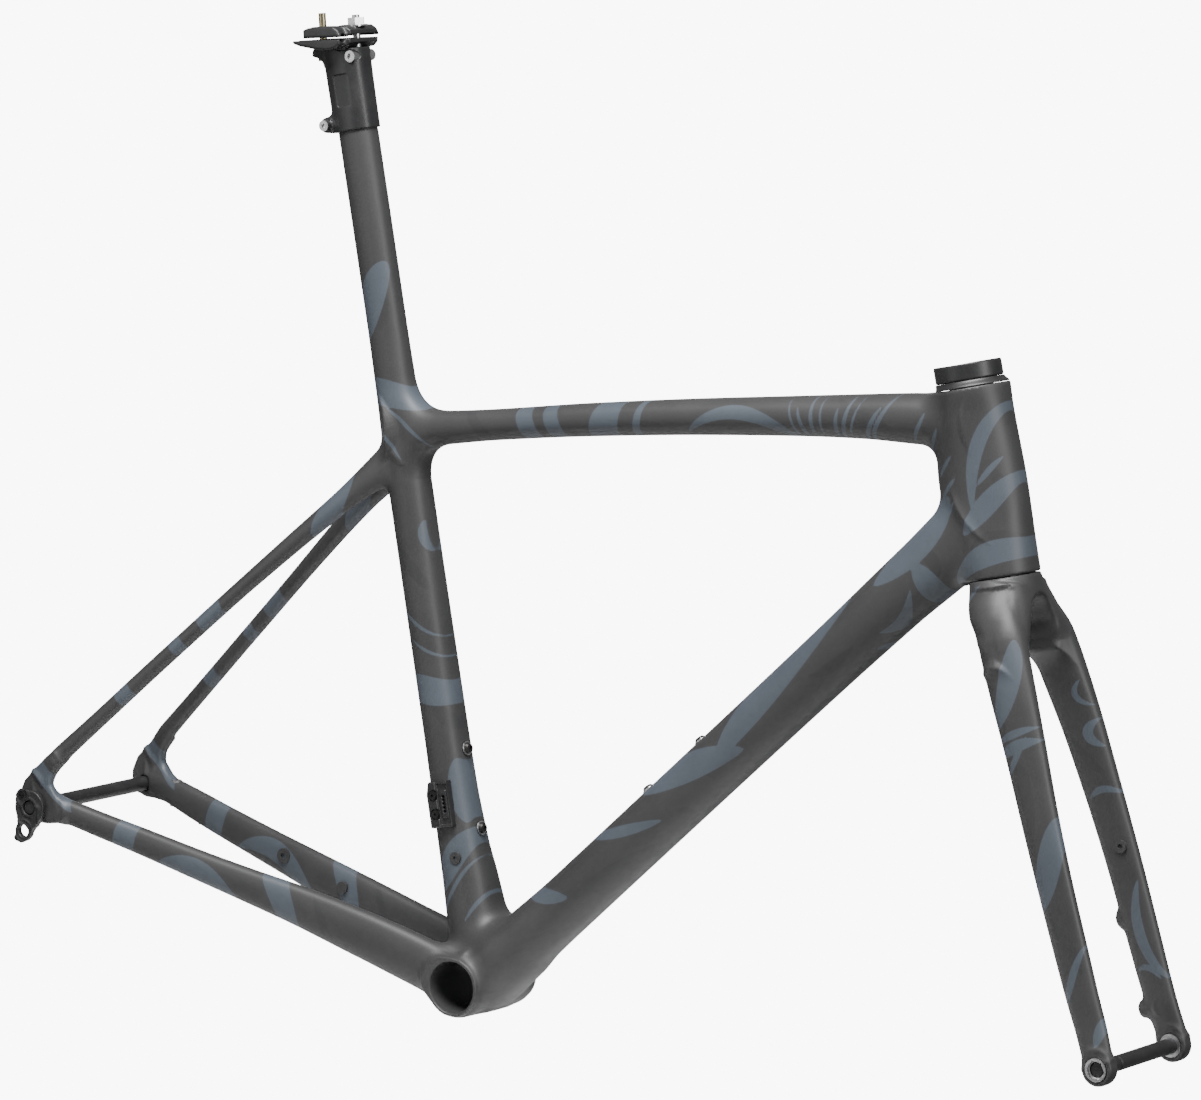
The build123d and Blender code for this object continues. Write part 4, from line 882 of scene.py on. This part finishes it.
STROKES = [
    ("seat", 178, 15, 152, 14, 126, 17, 8.0, 0),
    ("seat", 122, 26, 102, 0, 72, -14, 10.0, 0),
    ("seat", 100, 24, 80, 2, 50, -18, 1.8, 0),
    ("seat", 76, 32, 62, 18, 48, 8, 1.6, 0),
    ("seat", 246, -36, 234, 0, 224, 34, 11.5, 0),
    ("seat", 314, -22, 284, -4, 272, 22, 1.5, 0),
    ("seat", 276, -8, 264, 4, 256, 22, 1.3, 0),
    ("seat", 368, 16, 356, 11, 342, 17, 2.5, 0),
    ("seat", 574, 14, 548, -4, 512, -14, 12.0, 0),
    ("seat", 480, -34, 476, 0, 454, 34, 10.5, 0),
    ("seat", 460, 0, 446, 14, 422, 36, 1.7, 0),
    ("seat", 450, -8, 434, -2, 416, 8, 1.5, 0),
    ("top", 112, -40, 126, 0, 140, 40, 8.0, 0),
    ("top", 138, -40, 151, 0, 164, 40, 7.0, 0),
    ("top", 212, -46, 197, 0, 182, 46, 13.0, 0),
    ("top", 238, -40, 228, 0, 218, 40, 3.4, 0),
    ("top", 274, 4, 322, -32, 384, 18, 5.5, 0),
    ("top", 492, -10, 485, 2, 476, 16, 1.7, 0),
    ("top", 502, 2, 497, 12, 490, 24, 1.7, 0),
    ("head", 97, -12, 90, -22, 81, -30, 1.7, 0),
    ("head", 80, -12, 74, -20, 65, -32, 1.7, 0),
    ("head", 63, -16, 48, -32, 34, -54, 2.6, 0),
    ("head", 78, 36, 54, 8, 36, -14, 8.0, 0),
    ("head", 50, -2, 104, 0, 134, 38, 5.5, 0),
    ("head", 90, 26, 82, 16, 70, 4, 2.2, 0),
    ("head", 0, -34, 34, 8, 12, 56, 9.0, 0),
    ("head", -26, -28, -12, -20, -2, -2, 1.8, 0),
    ("down", 610, -24, 575, -12, 512, -14, 13.0, 0),
    ("down", 234, -20, 288, -12, 338, 11, 11.0, 0),
    ("down", 310, 3, 372, -16, 488, -20, 12.5, 0),
    ("down", 170, -24, 204, -6, 242, 9, 4.5, 0),
    ("down", 94, -28, 112, -10, 130, 3, 6.0, 0),
    ("down", 492, 16, 516, 28, 538, 8, 3.6, 0),
    ("down", 552, -4, 554, 16, 546, 40, 10.0, 0),
    ("down", 478, 22, 488, 28, 500, 32, 3.0, 0),
    ("chain", 86, -50, 88, 0, 84, 50, 10.0, 0),
    ("chain", 116, 12, 162, -24, 216, 34, 9.0, 0),
    ("chain", 196, -34, 248, -16, 258, 44, 10.0, 0),
    ("stay", 4, -50, 4, 0, 4, 40, 7.0, 0),
    ("stay", 103, -50, 103, -10, 103, 30, 8.0, 0),
    ("stay", 166, -50, 166, -10, 166, 30, 6.5, 0),
    ("stay", 212, -40, 206, -10, 200, 20, 13.0, 0),
    ("stay", 314, 6, 338, -2, 376, -12, 9.0, 0),
    ("leg", 324, 15, 292, 10, 260, -17, 9.0, -1),
    ("leg", 251, -20, 258, 2, 256, 20, 3.0, -1),
    ("leg", 239, -22, 250, 0, 246, 20, 4.6, -1),
    ("leg", 224, -16, 236, -4, 252, 10, 2.6, -1),
    ("leg", 188, 17, 152, 4, 122, -13, 10.0, -1),
    ("leg", 92, 16, 70, -2, 46, -15, 3.2, -1),
    ("leg", 36, 15, 26, 10, 16, 4, 4.0, -1),
    ("leg", 284, 16, 272, 0, 262, 20, 2.4, 1),
    ("leg", 252, 20, 244, -2, 230, 18, 4.2, 1),
    ("leg", 194, -8, 206, 6, 192, 20, 2.8, 1),
    ("leg", 128, 12, 84, -10, 48, 15, 4.6, 1),
    ("leg", 60, -9, 67, 2, 50, 9, 2.4, 1),
]
FAN_START = 368
FAN = (0, 9, 23, 32, 47, 60, 69, 86, 98)
for i, start in enumerate(FAN):
    foot = FAN_START + start
    lean = 13 - start * 0.42 + 3 * sin(2.1 * i)
    low, high = (-24, -15, -24)[i % 3], (22, 22, 12, 18)[i % 4]
    width = 1.1 + 0.7 * (i * i % 3)
    STROKES.append(("top", foot, low, foot - 4 + lean / 2, 0, foot + lean, high, width, 0))
FAINT = [
    ("seat", 360, -16, 330, 4, 312, 14, 5.0, 0),
    ("seat", 226, 2, 214, 10, 200, 18, 5.0, 0),
    ("seat", 560, 6, 540, 10, 520, 2, 6.0, 0),
    ("down", 300, -10, 296, 4, 302, 14, 2.0, 0),
    ("down", 250, 16, 268, 10, 262, 24, 3.0, 0),
    ("down", 420, 4, 440, 14, 470, 10, 4.0, 0),
    ("down", 130, 4, 170, 14, 220, 18, 7.0, 0),
    ("down", 560, -8, 575, 2, 560, 16, 6.0, 0),
    ("top", 60, -20, 86, 2, 96, 22, 5.0, 0),
    ("top", 226, -8, 250, 4, 268, 2, 4.0, 0),
    ("top", 410, -20, 446, 0, 470, 10, 5.0, 0),
    ("head", 40, 20, 60, 28, 86, 16, 5.0, 0),
    ("head", 24, -10, 36, 10, 28, 30, 5.0, 0),
    ("leg", 236, -4, 220, 4, 196, -6, 6.0, -1),
    ("leg", 214, 4, 190, -2, 168, -8, 4.0, -1),
    ("leg", 118, -8, 96, 4, 70, 8, 5.0, -1),
    ("leg", 246, -8, 220, 2, 210, 12, 4.0, 1),
    ("chain", 262, -20, 286, 2, 292, 26, 4.0, 0),
]


def paint_bands(piece, strokes, faint):
    """Stores the distance to the bands on a piece's points, for its material."""
    data = piece.data
    co = np.empty(len(data.vertices) * 3, np.float32)
    data.vertices.foreach_get("co", co)
    points = co.reshape(-1, 3).astype(float) / MM
    for name, table in (("band", strokes), ("faint", faint)):
        layer = data.attributes.new(name, "FLOAT", "POINT")
        layer.data.foreach_set("value", np.clip(band_distance(points, table), -5, 5).astype(np.float32))


paint_bands(frame_skin, STROKES, FAINT)
paint_bands(fork_skin, STROKES, FAINT)

carbon = carbon_finish()
looks = {  # by material slot: dark and light tone, lowest and highest roughness, metallic
    "raw_carbon": finish("raw_carbon", (0.012, 0.012, 0.012), (0.02, 0.02, 0.02), (0.45, 0.6)),
    "black_alloy": finish(
        "black_anodised", (0.016, 0.016, 0.017), (0.026, 0.026, 0.027), (0.36, 0.46), 0.35
    ),
    "black_steel": finish("black_oxide", (0.012, 0.012, 0.012), (0.022, 0.021, 0.02), (0.3, 0.42), 0.5),
    "alloy": finish("clear_anodised", (0.50, 0.50, 0.51), (0.66, 0.66, 0.67), (0.25, 0.38), 1.0),
    "steel": finish("ground_steel", (0.48, 0.48, 0.49), (0.66, 0.66, 0.67), (0.2, 0.34), 1.0),
    "olive_steel": finish("yellow_passivate", (0.26, 0.23, 0.14), (0.42, 0.37, 0.24), (0.25, 0.4), 1.0),
    "rubber": finish("black_rubber", (0.014, 0.014, 0.014), (0.022, 0.022, 0.022), (0.55, 0.72)),
}
frame_skin.data.materials.append(carbon)
fork_skin.data.materials.append(carbon)
for entry in frame["record"]["subparts"]:
    piece = frame["nodes"][entry["node"]]
    piece.data.materials.clear()
    piece.data.materials.append(looks.get(entry["material_slot"], carbon))
upper_bearing = frame["nodes"]["upper_bearing"]  # painted shade: black oxide overrides this part's own finish so that its rim, which shows in the seam under the ring, reads dark
# the bearing's colour here stands in for the shade inside the seam, not for a finish of its own
upper_bearing.data.materials.clear()
upper_bearing.data.materials.append(looks["black_steel"])

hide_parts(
    "head_tube",
    "top_tube",
    "down_tube",
    "seat_tube",
    "bottom_bracket_shell",
    "chainstay_right",
    "chainstay_left",
    "seatstay_right",
    "seatstay_left",
    "dropout_right",
    "dropout_left",
)
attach(frame_skin, "frame")
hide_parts("fork_crown", "fork_blade_right", "fork_blade_left")
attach(fork_skin, "fork")
for piece, covers, body_name in (
    (clamp_skin, "seat_clamp_body", "clamp_head"),
    (cradle_skin, "lower_cradle", "cradle"),
    (upper_skin, "upper_clamp", "cradle"),
    (hanger_skin, "derailleur_hanger", "frame"),
    (flare_skin, "headset_flare_ring", "fork"),
    (cover_skin, "headset_cover", "fork"),
    (mount_skin, "front_derailleur_mount", "frame"),
):
    piece.data.materials.append(looks["black_alloy"])
    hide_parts(covers)
    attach(piece, body_name)

# ---------------------------------------------------------------- floor, light and camera
FLOOR = -0.27
FLOOR_RADIUS = 0.6


def round_slab(name, radius, thick, edge, centre):
    """A disc with a rounded rim, its top at the centre's height."""
    profile = [(radius - edge + edge * sin(pi * i / 16), edge * (cos(pi * i / 16) - 1)) for i in range(9)]
    profile = [(radius * 0.5, 0.0), *profile, (radius, -thick)]
    count = 96
    points = [(0.0, 0.0, 0.0), (0.0, 0.0, -thick)]
    for r, z in profile:
        points += [(r * cos(2 * pi * i / count), r * sin(2 * pi * i / count), z) for i in range(count)]
    faces = []
    last = 2 + (len(profile) - 1) * count
    for i in range(count):
        j = (i + 1) % count
        faces.append((0, 2 + i, 2 + j))
        faces.append((1, last + j, last + i))
        for ring in range(len(profile) - 1):
            a = 2 + ring * count
            faces.append((a + i, a + count + i, a + count + j, a + j))
    data = bpy.data.meshes.new(name)
    data.from_pydata([tuple(Vector(p) + Vector(centre)) for p in points], [], faces)
    data.polygons.foreach_set("use_smooth", [True] * len(data.polygons))
    piece = bpy.data.objects.new(name, data)
    bpy.context.scene.collection.objects.link(piece)
    return piece


floor = round_slab("studio_floor", FLOOR_RADIUS, 0.03, 0.01, (0.0, 0.0, FLOOR))
pale = finish("pale_floor", (0.86, 0.86, 0.86), (0.9, 0.9, 0.9), (0.7, 0.8), 0.0, 4.0, 200.0)
floor.data.materials.append(pale)


def studio_world(view, pale, white, near, far):
    """Pale surroundings with a bright wall, fading out round the direction that the camera looks in."""
    world = bpy.data.worlds.new("studio")
    bpy.context.scene.world = world
    world.use_nodes = True
    tree = world.node_tree
    direction = tree.nodes.new("ShaderNodeTexCoord").outputs["Generated"]
    dot = tree.nodes.new("ShaderNodeVectorMath")
    dot.operation = "DOT_PRODUCT"
    dot.inputs[1].default_value = view
    tree.links.new(direction, dot.inputs[0])
    wall = ramp(tree, dot.outputs["Value"], cos(radians(far)), cos(radians(near)), pale, white)
    background = tree.nodes["Background"]
    background.inputs["Color"].default_value = (1, 1, 1, 1)
    tree.links.new(wall, background.inputs["Strength"])


def softbox(name, place, target, width, height, watts):
    """A rectangular light that faces a target."""
    data = bpy.data.lights.new(name, "AREA")
    data.shape = "RECTANGLE"
    data.size, data.size_y = width, height
    data.energy = watts
    lamp = bpy.data.objects.new(name, data)
    bpy.context.scene.collection.objects.link(lamp)
    lamp.location = place
    lamp.rotation_euler = (Vector(target) - Vector(place)).to_track_quat("-Z", "Y").to_euler()


softbox("top_light", (0.3, -1.1, 2.8), (0.1, 0, 0.3), 2.0, 1.0, 250)
softbox("front_light", (3.4, -0.8, 1.4), (0.1, 0, 0.3), 1.0, 1.8, 70)
softbox("side_light", (-1.8, -3.4, 0.9), (0.0, 0, 0.2), 1.0, 2.0, 26)

# The camera's place and turn, its lens, and the small shifts of its frame
PLACE = (3.04305, -4.58417, 1.39456)
YAW, PITCH, ROLL = radians(32.97), radians(10.72), radians(5.42)
SENSOR = 36.0
LENS = 214.13076
FRAME_SHIFT = 0.0033472, 0.0008909
away = Vector((-sin(YAW) * cos(PITCH), cos(YAW) * cos(PITCH), -sin(PITCH)))
right = Vector((cos(YAW), sin(YAW), 0))
up = right.cross(away)
right2 = right * cos(ROLL) + up * sin(ROLL)
up2 = up * cos(ROLL) - right * sin(ROLL)
camera = bpy.data.objects.new("camera", bpy.data.cameras.new("camera"))
bpy.context.scene.collection.objects.link(camera)
turn = Matrix((right2, up2, -away)).transposed().to_4x4()
camera.matrix_world = Matrix.Translation(PLACE) @ turn
camera.data.sensor_width = SENSOR
camera.data.lens = LENS
camera.data.shift_x, camera.data.shift_y = FRAME_SHIFT
camera.data.clip_end = 60.0
bpy.context.scene.camera = camera
studio_world(tuple(away), 0.24, 9.0, 8.0, 15.0)
